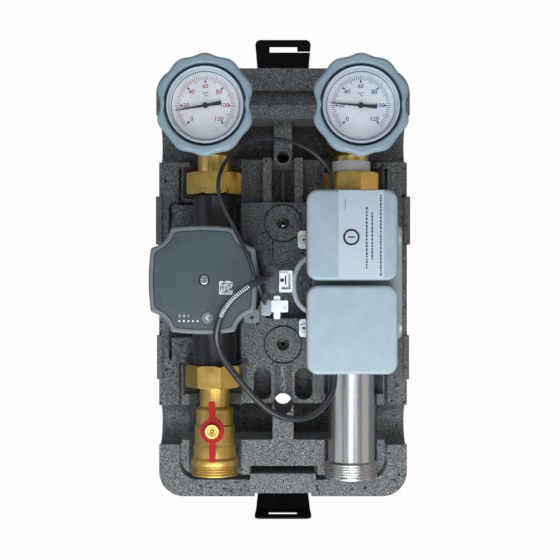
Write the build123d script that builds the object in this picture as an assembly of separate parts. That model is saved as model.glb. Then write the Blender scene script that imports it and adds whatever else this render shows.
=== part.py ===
from build123d import *

import math
import os

# Pumped heating-circuit group: two ball valves with dial thermometers, a circulator, a lower
# shut-off valve, a return pipe, two wiring boxes and their leads, in a foam back shell.
#
# Frame, in millimetres: +X to the right seen from the front, +Y into the wall, +Z up. The origin
# is on the wall, halfway between the two wall-screw holes. "Depth" is the distance in front of
# the wall, so a point at depth d has y = -d.

# ---- driving dimensions -------------------------------------------------------------------
pipe_spacing = 125.0
pipe_depth = 100.0
supply_x = -pipe_spacing / 2
return_x = pipe_spacing / 2
bore_radius = 12.5
fit_gap = 0.05                       # running fits and parts that slip together
free_gap = 0.4                       # moving parts that never touch

pump_length = 180.0                  # port to port
pump_z = 3.5
port_top = pump_z + pump_length / 2
port_bottom = pump_z - pump_length / 2
union_thread_radius = 23.5
union_thread_length = 14.0
gasket_thickness = 2.0
nut_across_flats = 50.0
nut_height = 20.0

return_thread_radius = 23.9          # G 1 1/2 outside thread
supply_thread_radius = 20.95         # G 1 1/4 outside thread
base_thread_pitch = 2.31
base_thread_depth = 1.2

shell_half_width = 120.0
shell_top = 204.0
shell_bottom = -206.0
shell_corner = 24.0
back_plate = 8.0
border_depth = 40.0
top_block_depth = 65.0
inner_depth = 92.0
inner_half_width = 93.5
groove_outer = 101.0
wall_screw_spacing = 112.0
wall_screw_radius = 2.3
screw_head_radius = 5.8
side_channel_z = 135.0
side_channel_radius = 20.5
side_channel_depth = 29.5
rib_inner = 10.8
cable_hole_radius = 8.6
cable_hole_z = -112.0

valve_z = 143.8
ball_radius = 17.0
stem_radius = 5.0
stem_bore = 3.2
probe_radius = 3.0
grip_front = 236.0
grip_thickness = 20.0
grip_opening = 33.0
grip_hub_radius = 14.0
dial_radius = 29.3
dial_depth = 227.0

head_x = -66.5
head_half = 45.0
head_back = 160.0
head_front = 200.0

box_x = 60.0
box_width = 79.0
upper_box_z = 42.6
upper_box_height = 78.8
lower_box_z = -39.85
lower_box_height = 77.1
box_back = 130.0
box_front = 158.0
box_corner = 10.0
box_wall = 2.0

shutoff_z = -130.0
strap_pivot_depth = 30.0
strap_width = 55.0
strap_thickness = 1.6
strap_bend_height = 24.0
bottom_strap_lean = 38.0
bottom_strap_bend = 35.0


# ---- helpers ------------------------------------------------------------------------------
def block(x0, x1, d0, d1, z0, z1):
    """A plain block between two corners, with depths in front of the wall."""
    size = (x1 - x0, d1 - d0, z1 - z0)
    return Pos((x0 + x1) / 2, -(d0 + d1) / 2, (z0 + z1) / 2) * Box(*size)


def facing(sketch, near_wall, thickness, x=0.0, z=0.0):
    """A sketch drawn as seen from the front, extruded away from the wall."""
    return Pos(x, -near_wall, z) * Rot(90, 0, 0) * extrude(sketch, thickness)


def slab(x0, x1, z0, z1, corner, d0, d1):
    """A plate parallel to the wall with rounded corners."""
    sketch = RectangleRounded(x1 - x0, z1 - z0, corner)
    return facing(sketch, d0, d1 - d0, (x0 + x1) / 2, (z0 + z1) / 2)


def upright(radius, z0, z1, x=0.0, depth=pipe_depth):
    return Pos(x, -depth, (z0 + z1) / 2) * Cylinder(radius, z1 - z0)


def outward(radius, d0, d1, x=0.0, z=0.0):
    return Pos(x, -(d0 + d1) / 2, z) * Rot(90, 0, 0) * Cylinder(radius, d1 - d0)


def crosswise(radius, x0, x1, depth, z):
    return Pos((x0 + x1) / 2, -depth, z) * Rot(0, 90, 0) * Cylinder(radius, x1 - x0)


def turned(profile):
    """A solid of revolution about Z from (radius, height) points."""
    return revolve(make_face(Polyline(*[(r, 0, h) for r, h in profile], close=True)), Axis.Z)


def turned_up(profile, x, depth=pipe_depth):
    return Pos(x, -depth, 0) * turned(profile)


def turned_out(profile, x, z):
    """Revolution about a line square to the wall; profile points are (radius, depth)."""
    return Pos(x, 0, z) * Rot(90, 0, 0) * turned(profile)


def prism(sides, across_flats, z0, z1, x, depth=pipe_depth, turn=0.0):
    """An upright prism with that many sides."""
    radius = across_flats / 2 / math.cos(math.pi / sides)
    sketch = RegularPolygon(radius, sides)
    return Pos(x, -depth, z0) * Rot(0, 0, turn) * extrude(sketch, z1 - z0)


def ringed_thread(radius, z_start, z_end, pitch, depth, inside=False):
    """Profile points of a thread's crests and grooves, from z_start to z_end."""
    way = 1.0 if z_end > z_start else -1.0
    turns = int(abs(z_end - z_start) / pitch)
    root = radius + depth if inside else radius - depth
    points = [(radius, z_start)]
    for turn in range(turns):
        z = z_start + way * pitch * turn
        points += [(radius, z + way * pitch * 0.35), (root, z + way * pitch * 0.68)]
        points += [(radius, z + way * pitch)]
    points.append((radius, z_end))
    return points


def round_path(points):
    """Straight runs joined by arcs as large as the runs allow."""
    vectors = [Vector(*point) for point in points]
    radii = []
    for before, here, after in zip(vectors, vectors[1:], vectors[2:]):
        turn = math.radians((here - before).get_angle(after - here))
        shorter = min((here - before).length, (after - here).length)
        radii.append(0.45 * shorter / math.tan(turn / 2))
    return FilletPolyline(*points, radius=radii), radii


def cable(name, points, radius):
    path, radii = round_path(points)
    section = Plane(origin=path @ 0, z_dir=path % 0) * Circle(radius)
    tube = sweep(section, path=path)
    expected = math.pi * radius ** 2 * path.length
    print(f"{name}: length {path.length:.1f}, tightest arc {min(radii):.1f}, "
          f"volume {tube.volume / expected:.3f} of section times length")
    return tube


# ---- foam shell ---------------------------------------------------------------------------
def foam_shell():
    full = RectangleRounded(2 * shell_half_width, shell_top - shell_bottom, shell_corner)
    middle = (shell_top + shell_bottom) / 2
    body = facing(full, 0, border_depth, 0, middle)
    top = facing(full, border_depth, top_block_depth - border_depth, 0, middle)
    top = top & block(-130, 130, 0, inner_depth, 160, 220)
    inner = slab(-inner_half_width, inner_half_width, -176, 165, 14, border_depth, inner_depth)
    body = body + top + inner

    # the groove that takes the front cover's rim
    rim = slab(-groove_outer, groove_outer, -190, 165, 18, 26, border_depth + 1)
    rim -= slab(-inner_half_width, inner_half_width, -176, 172, 14, 25, border_depth + 2)
    body -= rim & block(-130, 130, 20, 50, -195, 112)

    # pockets for the pump on the left and the wiring on the right
    body -= slab(-111, -40, -75, 79, 5, 16, inner_depth + 1)
    body -= slab(40, 111, -75, 79, 5, 40, inner_depth + 1)
    body -= outward(47, 60, inner_depth + 1, supply_x, pump_z)
    for side in (-1, 1):
        for z0, z1 in ((50, 75), (-75, -52)):
            x0, x1 = sorted((side * 106.0, side * 86.0))
            lump = block(x0, x1, 16, 56, z0, z1)
            z = (z0 + z1) / 2
            lump -= turned_out([(7.6, 54.8), (8.4, 54.8), (8.4, 57), (7.6, 57)], side * 96, z)
            body += lump

    # half-round beds for the two pipe runs, wider at nuts and valve bodies
    for x in (supply_x, return_x):
        body -= upright(25.5, -210, 175, x)
        body -= upright(31, 74, 108, x)
        body -= upright(31, -102, -68, x)
        body -= upright(33, 112, 190, x)

    # round-bottomed channels from side to side, the lower one stepped at the cover groove
    body -= crosswise(side_channel_radius, -130, 130, side_channel_depth, side_channel_z)
    body -= block(-130, 130, side_channel_depth, 100, side_channel_z - 17.5,
                  side_channel_z + 17.5)
    body -= crosswise(18, -inner_half_width, inner_half_width, 27, -129)
    body -= block(-inner_half_width, inner_half_width, 27, 100, -144, -112)
    for side in (-1, 1):
        x0, x1 = sorted((side * inner_half_width, side * 130.0))
        body -= crosswise(side_channel_radius, x0, x1, side_channel_depth, -136.8)
        body -= block(x0, x1, side_channel_depth, 100, -156, -117.5)

    # stepped middle between the two pads with the wall screws
    body -= block(-38, 38, 62, inner_depth + 1, 75, 118)
    body -= block(-rib_inner, rib_inner, 38, inner_depth + 1, 76, 110)
    body += block(-1.2, 1.2, 30, 58, 75, 111)
    body -= block(-38, 38, 74, inner_depth + 1, -113, -75)
    body -= upright(8.5, -113, -75, 0, 76)
    for side in (-1, 1):
        x0, x1 = sorted((side * rib_inner, side * 18.6))
        body += slab(x0, x1, 74, 117, 1, 40, 86)
        x0, x1 = sorted((side * 11.0, side * 28.0))
        body -= slab(x0, x1, -109, -79, 8, 42, 75)
    for way in (-1, 1):
        body -= turned_out([(16.4, 87), (18, 87), (18, 93), (16.4, 93)], 0, way * 56)
        body -= block(-9.6, -8.2, 87, 93, *sorted((way * 70, way * 76)))
        body -= block(8.2, 9.6, 87, 93, *sorted((way * 70, way * 76)))
    body -= block(-10.2, -8.9, 85, 93, -34, 40)
    body -= block(-16, 24, 72, 93, -32, 21)

    # ribs across the channels, a boss with a blind hole and an open cable hole
    body += block(-8.5, 8.5, back_plate, 80, 116, 158)
    body += block(-9.6, 9.6, back_plate, inner_depth, -158, -112)
    body += turned_out([(0, back_plate), (9, back_plate), (8, 84), (0, 84)], 0, 118)
    body -= outward(5.9, 20, 85, 0, 118)
    body -= outward(cable_hole_radius, -1, inner_depth + 1, 0, cable_hole_z)
    body -= turned_out([(8.4, 91), (9.2, 91), (9.2, 93), (8.4, 93)], 0, -154)

    # strap slot, strap pad and the pads' small steps
    body -= block(-31, 32, 20, 93, -176, -168)
    body += slab(-30.5, 30.5, -194, -176, 1.5, border_depth - 5, 88)
    for side in (-1, 1):
        x0, x1 = sorted((side * 30.3, side * 31.6))
        body -= block(x0, x1, 30, 93, -186, -176)
        body += block(*sorted((side * 117.0, side * 122.5)), 0, 46, 38, 84)
        body += block(*sorted((side * 117.0, side * 121.5)), 0, 46, -92, -50)
    body -= block(-95, 95, 58, 66, 173, 183)
    for x0, x1 in ((-31, -9), (9, 33)):
        body -= slab(x0, x1, 139, 148, 3, 9.5, 30)

    # wall-screw holes and the two strap pivots
    for z in (-wall_screw_spacing / 2, wall_screw_spacing / 2):
        body -= outward(wall_screw_radius, -1, 100, 0, z)
        body -= outward(screw_head_radius, 80, 100, 0, z)
    for end, way in ((shell_top, 1), (shell_bottom, -1)):
        pocket = block(-33, 33, strap_pivot_depth - 6, strap_pivot_depth + 5,
                       *sorted((end - way * 12.0, end - way * 4.0)))
        lip = block(-27.5, 27.5, strap_pivot_depth - 9, strap_pivot_depth + 16,
                    *sorted((end - way * 5.0, end + way)))
        body -= pocket
        body -= lip
    return body


def pivot_depth_z(way):
    return (shell_top - 7.0) if way > 0 else (shell_bottom + 7.0)


def cover_strap(way, lean, bend=0.0):
    """A moulded strap on a pivot bar; it leans out by lean degrees, its tip by bend more."""
    reach = 41.0
    tip, root = strap_width / 2, strap_width / 2 - 3.5
    outline = Polygon((-root, 0), (root, 0), (tip, reach), (-tip, reach), align=None)
    blade = Pos(0, strap_thickness / 2, 0) * Rot(90, 0, 0) * extrude(outline, strap_thickness)
    blade = fillet(blade.edges().filter_by(Axis.Y).group_by(Axis.Z)[-1], 5)
    blade -= Pos(way * 0.3, 0, reach - 9.6) * Box(27, 10, 5.4)
    blade -= Pos(way * 20, 0, reach - 11.8) * Box(20, 10, 1.0)
    if bend > 0:
        end = blade & Pos(0, 0, strap_bend_height + 50) * Box(100, 10, 100)
        blade -= Pos(0, 0, strap_bend_height + 50) * Box(100, 10, 100)
        end = Pos(0, 0, strap_bend_height) * Rot(-bend, 0, 0) * Pos(0, 0, -strap_bend_height) * end
        half = root + (tip - root) * strap_bend_height / reach
        blade += end + crosswise(strap_thickness / 2, -half, half, 0, strap_bend_height)
    bar = crosswise(2.6, -31, 31, 0, 0)
    strap = blade + bar
    turn = lean if way > 0 else 180 - lean
    return Pos(0, -strap_pivot_depth, pivot_depth_z(way)) * Rot(turn, 0, 0) * strap


# ---- thermometer ball valves --------------------------------------------------------------
def ball_valve_body(x):
    flange_low = port_top + gasket_thickness
    outer = [(0, flange_low), (21.5, flange_low), (21.5, flange_low + 3), (16, flange_low + 3),
             (16, 116), (19, 119), (24, 124), (24.6, 128), (24.6, 160), (24, 163),
             (21.5, 166), (21.5, 180), (0, 180)]
    body = turned_up(outer, x)
    body += prism(8, 42.5, 168, 178, x, turn=22.5)
    body += outward(12.5, pipe_depth, 138, x, valve_z)
    body += outward(10.5, 138, 142, x, valve_z)
    cavity = [(0, flange_low - 1), (bore_radius, flange_low - 1), (bore_radius, 126),
              (17.9, 126), (17.9, 161.6), (bore_radius, 161.6), (bore_radius, 163), (15.2, 163)]
    cavity += [(15.2, 163.2)] + ringed_thread(15.2, 163.2, 180, 2.31, 1.1, inside=True)[1:]
    cavity += [(15.2, 181), (0, 181)]
    body -= turned_up(cavity, x)
    body -= outward(stem_radius + fit_gap, pipe_depth, 145, x, valve_z)
    body -= outward(7.5, pipe_depth, 126, x, valve_z)
    return body


def ball(x, z, radius, bore, slot_depth):
    shape = Pos(x, -pipe_depth, z) * Sphere(radius)
    shape -= upright(bore, z - 40, z + 40, x)
    shape -= block(x - 2.5, x + 2.5, pipe_depth + radius - slot_depth, pipe_depth + radius + 5,
                   z - 20, z + 20)
    return shape


def grip_radius(angle):
    """Outline of the grip: long hollows at the sides, shallow ones between five lobes."""
    side = abs((angle + 90) % 180 - 90)
    if side < 22:
        return 35.5 + 4.9 * (1 - math.cos(math.pi * side / 22)) / 2
    if side < 60:
        return 40.9 - 0.5 * math.cos(math.pi * (side - 22) / 38) - wave(side, 22, 60)
    return 41.4 + 0.2 * (side - 60) / 30 - wave(side, 60, 90)


def wave(side, start, end):
    return 0.85 * (1 - math.cos(2 * math.pi * (side - start) / (end - start)))


def grip_ring(x):
    steps = range(0, 360, 5)
    outline = [(grip_radius(a) * math.cos(math.radians(a)),
                grip_radius(a) * math.sin(math.radians(a))) for a in steps]
    face = make_face(Spline(*outline, periodic=True))
    back = grip_front - grip_thickness
    ring = facing(face, back, grip_thickness, x, valve_z)
    ring -= outward(grip_opening, back + 3, grip_front + 1, x, valve_z)
    ring += turned_out([(0, 152), (11, 152), (grip_hub_radius, 160), (grip_hub_radius + 3, back),
                        (0, back)], x, valve_z)
    ring -= outward(stem_radius + fit_gap, 150, back - 6, x, valve_z)
    ring -= outward(probe_radius + 0.3, 150, grip_front, x, valve_z)
    for side in (-1, 1):
        ring -= block(*sorted((x + side * 19, x + side * 31)), back - 1, back + 4,
                      valve_z - 9, valve_z + 9)
    return ring


def valve_stem(x):
    tang_low = pipe_depth + ball_radius - 3.2
    stem = outward(stem_radius, 121, 208, x, valve_z)
    stem += outward(7.2, 118.5, 122, x, valve_z)
    stem += block(x - 2.4, x + 2.4, tang_low, 119, valve_z - 5, valve_z + 5)
    stem -= outward(stem_bore, 126, 209, x, valve_z)
    return stem


def thermometer_case(x):
    back = grip_front - grip_thickness + 3
    case = turned_out([(0, back), (30.9, back), (30.9, 233.4), (30.4, 234.4), (29.9, 234.4),
                       (29.0, 232.8), (29.0, 231.6), (29.4, 231.6), (29.4, back + 2),
                       (0, back + 2)], x, valve_z)
    case += outward(probe_radius, 130, back + 0.5, x, valve_z)
    case += outward(1.1, back, dial_depth + 0.9, x, valve_z)
    return case


def dial(x):
    ring = [(1.6, dial_depth - 1), (dial_radius, dial_depth - 1), (dial_radius, dial_depth),
            (1.6, dial_depth)]
    return turned_out(ring, x, valve_z)


def dial_window(x):
    ring = [(0, 230), (29.2, 230), (29.2, 231.5), (0, 231.5)]
    return turned_out(ring, x, valve_z)


def dial_pointer(x, angle):
    low, high = dial_depth + 0.35, dial_depth + 1.15
    needle = Polygon((-13, 1.6), (-13, -1.6), (0, -0.9), (24.3, -0.25), (24.3, 0.25), (0, 0.9),
                     align=None)
    shape = facing(Rot(0, 0, angle) * needle, low, high - low, x, valve_z)
    shape += outward(2.3, low, high + 0.6, x, valve_z)
    shape -= outward(1.1 + fit_gap, low - 1, dial_depth + 1.0, x, valve_z)
    return shape


def seat_rings():
    rings = []
    seats = [(supply_x, valve_z, ball_radius, bore_radius, 17.8, 17.9, 9),
             (return_x, valve_z, ball_radius, bore_radius, 17.8, 17.9, 9),
             (supply_x, shutoff_z, 13.0, 9.5, 13.6, 13.7, 7)]
    for x, z, radius, bore, end, wide, start in seats:
        for way in (-1, 1):
            low, high = sorted((z + way * start, z + way * end))
            ring = upright(wide, low, high, x) - upright(bore, low - 1, high + 1, x)
            ring -= Pos(x, -pipe_depth, z) * Sphere(radius + fit_gap)
            rings.append(ring)
    return Compound(rings)


# ---- check valve in the return neck -------------------------------------------------------
def check_valve_cage():
    cage = upright(12.5, 95.5, 116, return_x) - upright(11.6, 95, 112.5, return_x)
    cage -= upright(8.6, 112, 117, return_x)
    spider = upright(2.6, 95.5, 101.5, return_x)
    for angle in (0, 60, 120):
        bar = Pos(return_x, -pipe_depth, 96.5) * Rot(0, 0, angle) * Box(23.8, 1.6, 2.0)
        spider += bar
    cage += spider
    cage -= upright(1.5 + fit_gap, 94, 103, return_x)
    return cage


def check_valve_disc():
    disc = upright(10.4, 110.3, 112.45, return_x)
    disc += upright(1.5, 98.5, 111, return_x)
    return disc


def check_valve_spring():
    wire = 0.45
    coil = Helix(pitch=2.3, height=11.5, radius=5.0)
    section = Plane(origin=coil @ 0, z_dir=coil % 0) * Circle(wire)
    return Pos(return_x, -pipe_depth, 97.65 + wire) * sweep(section, path=coil, is_frenet=True)


# ---- unions -------------------------------------------------------------------------------
def union_nut(x, thread_low, thread_high, shoulder_way, neck, turn):
    """An octagonal nut: thread from thread_low to thread_high, then a shoulder round the neck."""
    end = thread_high if shoulder_way > 0 else thread_low
    shoulder = end + shoulder_way * 2.5
    low, high = min(thread_low, shoulder), max(thread_high, shoulder)
    nut = prism(8, nut_across_flats, low, high, x, turn=turn)
    corner = nut_across_flats / 2 / math.cos(math.pi / 8)
    cap = turned_up([(0, low), (corner - 1.6, low), (corner, low + 1.6), (corner, high - 1.6),
                     (corner - 1.6, high), (0, high)], x)
    nut = nut & cap
    nut -= upright(union_thread_radius + fit_gap, thread_low, thread_high, x)
    nut -= upright(neck + 0.3, low - 1, high + 1, x)
    return nut


def union_nuts():
    upper_low = 81.0
    upper_high = port_top + gasket_thickness + 3
    lower_high = -73.5
    lower_low = port_bottom - gasket_thickness - 3
    return Compound([
        union_nut(supply_x, upper_low, upper_high, 1, 16, 22.5),
        union_nut(return_x, upper_low, upper_high, 1, 16, 14.5),
        union_nut(supply_x, lower_low, lower_high, -1, 13.7, 13.5),
    ])


def union_gaskets():
    def gasket(x, low):
        return upright(21.3, low, low + gasket_thickness, x) - upright(14, low - 1, low + 3, x)
    return Compound([gasket(supply_x, port_top), gasket(return_x, port_top),
                     gasket(supply_x, port_bottom - gasket_thickness)])


# ---- circulator ---------------------------------------------------------------------------
def flange_screw_places():
    """The four screws that hold the motor to the pump housing."""
    reach = 46.0 * math.sqrt(0.5)
    return [(supply_x + sx * reach, pump_z + sz * reach) for sx in (-1, 1) for sz in (-1, 1)]


def pump_housing():
    neck = 20.0
    volute = turned_out([(0, 70), (22, 70), (34, 78), (43, 92), (44, 100), (44, 128), (0, 128)],
                        supply_x, pump_z)
    body = volute + upright(neck, port_bottom + 10, port_top - 10, supply_x)
    for end, way in ((port_top, -1), (port_bottom, 1)):
        points = ringed_thread(union_thread_radius, end, end + way * union_thread_length,
                               2.31, 1.2)
        points = [(0, end)] + points + [(neck, points[-1][1]), (0, points[-1][1])]
        body += turned_up(points, supply_x)
    for x, z in flange_screw_places():
        body += outward(7, 112, 128, x, z)
    body -= outward(36, 98, 129, supply_x, pump_z)
    body -= upright(bore_radius, 34, port_top + 1, supply_x)
    body -= upright(bore_radius, port_bottom - 1, -45, supply_x)
    start = Vector(supply_x, -pipe_depth, -47)
    finish = Vector(supply_x, -86, pump_z)
    run = Line(start, finish)
    body -= sweep(Plane(origin=start, z_dir=finish - start) * Circle(10.5), path=run)
    body -= Pos(start) * Sphere(12)
    body -= outward(11, 84, 99, supply_x, pump_z)
    for x, z in flange_screw_places():
        body -= outward(2.5, 114, 129, x, z)
    return body


def impeller():
    wheel = turned_out([(9.5, 100.5), (12, 100.5), (12, 103), (33, 105), (33, 107), (11, 105.5),
                        (9.5, 105.5)], supply_x, pump_z)
    hub = turned_out([(4.0, 108), (33, 113), (33, 115), (8, 115), (8, 121), (4.0, 121)],
                     supply_x, pump_z)
    wheel += hub
    for index in range(7):
        blade = Pos(22, 0, 0) * Rot(0, 0, 35) * Box(24, 1.6, 9)
        blade = blade & (Pos(0, 0, 0) * Cylinder(32.5, 20))
        turn = Rot(0, 0, index * 360 / 7)
        wheel += Pos(supply_x, -110, pump_z) * Rot(90, 0, 0) * turn * blade
    return wheel


def pump_shaft():
    return outward(4.0, 104, 175.5, supply_x, pump_z)


def pump_rotor():
    return turned_out([(4.0, 133), (20, 133), (20, 163), (4.0, 163)], supply_x, pump_z)


def shaft_bearings():
    """The plate with the front bearing, and the rear bearing in the can's pocket."""
    bore = 4.0 + fit_gap
    plate = turned_out([(bore, 122.5), (7.5, 122.5), (7.5, 124.5), (35.5, 124.5), (35.5, 128),
                        (bore, 128)], supply_x, pump_z)
    rear = turned_out([(bore, 168.5), (7.5, 168.5), (7.5, 176), (bore, 176)], supply_x, pump_z)
    return Compound([plate, rear])


def rotor_can():
    return turned_out([(0, 177.2), (7.6, 177.2), (7.6, 169.2), (21.6, 169.2), (21.6, 128),
                       (42, 128), (42, 129.2), (22.4, 129.2), (22.4, 170.0), (8.4, 170.0),
                       (8.4, 178), (0, 178)], supply_x, pump_z)


def stator():
    core = turned_out([(22.6, 134), (38.5, 134), (38.5, 162), (22.6, 162)], supply_x, pump_z)
    for index in range(6):
        angle = index * 60
        coil = Pos(31, 0, 0) * Box(11, 14, 36)
        core += Pos(supply_x, -148, pump_z) * Rot(90, 0, 0) * Rot(0, 0, angle) * coil
    core -= outward(22.6, 120, 180, supply_x, pump_z)
    return core


def motor_housing():
    shell = turned_out([(38.8, 129.2), (45, 129.2), (45, 138), (43, 142), (43, 172), (9, 172),
                        (9, 170.4), (38.8, 170.4)], supply_x, pump_z)
    for x, z in flange_screw_places():
        lug = outward(7, 129.2, 137, x, z) - outward(42, 120, 140, supply_x, pump_z)
        shell = shell + lug - outward(2.7, 127, 138, x, z) - outward(4.8, 137, 143, x, z)
    return shell


def motor_screws():
    screws = []
    for x, z in flange_screw_places():
        screw = outward(2.45, 115, 137, x, z) + outward(4.4, 137, 141, x, z)
        socket = facing(RegularPolygon(2.3, 6), 138.5, 4, x, z)
        screws.append(screw - socket)
    return Compound(screws)


def head_outline(inset):
    """Square with bulged sides and hollow corners, drawn about its own centre."""
    bulge = 183.0
    half = head_half - inset
    offset = bulge - half
    sketch = Pos(0, -offset) * Circle(bulge) & Pos(0, offset) * Circle(bulge)
    sketch = sketch & Pos(-offset, 0) * Circle(bulge) & Pos(offset, 0) * Circle(bulge)
    corner = 19.4 + inset
    for sx in (-1, 1):
        for sz in (-1, 1):
            sketch -= Pos(sx * 46, sz * 46) * Circle(corner)
    return fillet(sketch.vertices(), 3.2)


def control_box():
    back = 172.0
    body = facing(head_outline(0), back + 4, head_front - back - 4, head_x, pump_z)
    front = body.faces().sort_by(Axis.Y)[0]
    body = fillet(front.outer_wire().edges(), 2.2)
    body += facing(head_outline(5), back, 5, head_x, pump_z)
    body -= facing(head_outline(7), back + 3, 19, head_x, pump_z)
    body -= facing(head_outline(4.4), head_front - 1.6, 3, head_x, pump_z)
    body -= outward(8.8, back - 1, 179, supply_x, pump_z)
    body -= outward(4.6, back - 1, head_front + 1, head_x + 1, pump_z)
    body -= outward(6.4, 190, head_front + 1, button_x, button_z)
    tab = slab(-33, -20, -33, -21, 4, 176, 186) - outward(1.6, 170, 190, -26, -28)
    return body + (tab - facing(head_outline(1), 170, 30, head_x, pump_z))


button_x = head_x + 4.1
button_z = pump_z - 31.5


def control_faceplate():
    plate = facing(head_outline(4.6), head_front - 1.6, 1.6, head_x, pump_z)
    plate -= outward(4.6, 190, 201, head_x + 1, pump_z)
    plate -= outward(5.6, 190, 201, button_x, button_z)
    return plate


def control_button():
    cap = outward(5.2, 196.9, 200.4, button_x, button_z)
    cap = fillet(cap.edges().group_by(Axis.Y)[0], 0.7)
    return cap + outward(6.0, 195.4, 197.2, button_x, button_z)


def vent_screw():
    screw = outward(3.9, 183, 199.4, head_x + 1, pump_z)
    screw = fillet(screw.edges().group_by(Axis.Y)[0], 0.8)
    return screw - facing(Rectangle(6.0, 1.1) + Rectangle(1.1, 6.0), 197.6, 3, head_x + 1, pump_z)


def circuit_board():
    board = facing(Rectangle(58, 50), 179, 1.6, head_x, pump_z)
    for dx, dz, wide, high in ((-18, 12, 16, 12), (14, -14, 12, 16), (-14, -16, 8, 8)):
        board += facing(Rectangle(wide, high), 180.6, 7, head_x + dx, pump_z + dz)
    return board - outward(6.5, 170, 195, head_x + 1, pump_z)


# ---- plugs --------------------------------------------------------------------------------
def power_plug():
    boot = slab(-17, -3.4, -8, 17, 6.2, 162, 180)
    boot = fillet(boot.faces().sort_by(Axis.Y)[0].outer_wire().edges(), 3.0)
    collar = turned_out([(0, 178), (5.0, 178), (4.4, 184), (0, 184)], -11.5, 5)
    return boot + collar


def power_plug_lock():
    frame = slab(-3.4, 8, -7, 11.5, 1.2, 164, 176)
    frame -= block(-1.2, 6.4, 170, 178, -4.5, 9)
    tongue = slab(-3.0, 4.3, -2.5, 9.5, 0.8, 168, 177.5)
    return frame + tongue


def signal_plug_housing():
    shell = slab(-19.5, -10, -27, -13, 2.5, 158, 172)
    return fillet(shell.faces().sort_by(Axis.Y)[0].outer_wire().edges(), 1.2)


def signal_plug_latch():
    body = slab(-10, 4.3, -24, -14, 0.8, 158, 171)
    body += slab(-8, -2.4, -30, -10, 1.2, 160, 170)
    return body - block(1.0, 2.4, 169, 173, -21, -17)


# ---- lower shut-off valve and return pipe --------------------------------------------------
def shutoff_body():
    top = port_bottom - gasket_thickness
    outer = [(0, top), (21.5, top), (21.5, top - 3), (13.6, top - 3), (13.6, -111.5),
             (15.4, -113), (16.8, -114.5), (16.8, -128), (18.3, -129.2), (18.3, -146),
             (19.4, -148), (19.4, -157.5), (21.4, -160), (21.4, -164.6), (20.2, -165.2)]
    outer += ringed_thread(supply_thread_radius, -165.6, -174.0, base_thread_pitch,
                           base_thread_depth)
    outer += [(20.2, -174.6), (0, -174.6)]
    body = turned_up(outer, supply_x)
    body += outward(8.5, pipe_depth, 122.5, supply_x, shutoff_z)
    bore = [(0, top + 1), (9.5, top + 1), (9.5, -116.4), (13.7, -116.4), (13.7, -143.6),
            (9.5, -143.6), (9.5, -150), (16.5, -156), (16.5, -176), (0, -176)]
    body -= turned_up(bore, supply_x)
    body -= outward(4.0 + fit_gap, pipe_depth, 124, supply_x, shutoff_z)
    return body


def shutoff_stem():
    stem = outward(4.0, 114, 134, supply_x, shutoff_z)
    stem += outward(3.2, 134, 140.4, supply_x, shutoff_z)
    stem += block(supply_x - 2.4, supply_x + 2.4, 110.4, 114.5, shutoff_z - 3.2, shutoff_z + 3.2)
    return stem


def shutoff_handle():
    ring = outward(10.7, 134.0, 138.2, supply_x, shutoff_z)
    lower = slab(supply_x - 2.8, supply_x + 2.8, -158, -138, 2.4, 134.5, 137.5)
    upper = slab(supply_x - 2.8, supply_x + 2.8, -121.5, -111, 2.0, 134.5, 137.5)
    crank = block(supply_x - 2.8, supply_x + 2.8, 134.5, 144.5, -113.5, -110.5)
    tip = slab(supply_x - 2.8, supply_x + 2.8, -113.5, -103, 2.0, 141.5, 144.5)
    handle = ring + lower + upper + crank + tip
    return handle - outward(3.2, 130, 140, supply_x, shutoff_z)


def shutoff_nut():
    nut = facing(RegularPolygon(7.0, 6), 138.2, 4.2, supply_x, shutoff_z)
    nut = nut & turned_out([(0, 138), (7.2, 138), (7.2, 141.2), (6.0, 142.4), (0, 142.4)],
                           supply_x, shutoff_z)
    return nut - outward(3.2, 137, 144, supply_x, shutoff_z)


def return_pipe():
    outer = [(0, port_top), ]
    outer += ringed_thread(union_thread_radius, port_top, 79.0, 2.31, 1.2)
    outer += [(21.2, 78.5), (21.2, -161.0), (22.6, -162.0)]
    outer += ringed_thread(return_thread_radius, -163.0, -176.6, base_thread_pitch,
                           base_thread_depth)
    outer += [(23.0, -177.2), (0, -177.2)]
    pipe = turned_up(outer, return_x)
    return pipe - upright(18.0, -180, port_top + 1, return_x)


def marking_band():
    return upright(17.4, 101.3, 111.5, return_x) - upright(16.0, 100, 113, return_x)


# ---- wiring boxes -------------------------------------------------------------------------
def mounting_plate():
    plate = slab(26, 106, -49, 52, 5, 124.2, box_back)
    plate = fillet(plate.faces().sort_by(Axis.Y)[0].outer_wire().edges(), 1.2)
    for z in (25.4, -26.6):
        plate += block(35.5, 43, 113, 124.4, z - 4.5, z + 4.5)
    for z in (39.5, -39.5):
        plate -= outward(2.05, 120, 131, 101.5, z)
    return plate


def pipe_brackets():
    brackets = []
    for z, left in ((39.5, 13.2), (-39.5, 14.3)):
        strip = slab(left, 106, z - 8, z + 8, 3, 122.2, 124.2)
        clip = upright(23.2, z - 8, z + 8, return_x) - upright(21.2, z - 9, z + 9, return_x)
        strip = strip + (clip - block(return_x - 4, return_x + 4, 70, 90, z - 9, z + 9))
        strip -= upright(21.2, z - 9, z + 9, return_x)
        for x in (18.6, 101.5):
            strip -= outward(2.05, 120, 126, x, z)
        brackets.append(strip)
    return Compound(brackets)


def bracket_screws():
    screws = []
    for z in (39.5, -39.5):
        for x, seat in ((18.6, 124.2), (101.5, box_back)):
            screw = outward(2.0, 116, seat, x, z) + outward(3.9, seat, seat + 2.4, x, z)
            screw = screw - facing(RegularPolygon(1.9, 6), seat + 1.0, 2, x, z)
            screws.append(screw)
    return Compound(screws)


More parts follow.
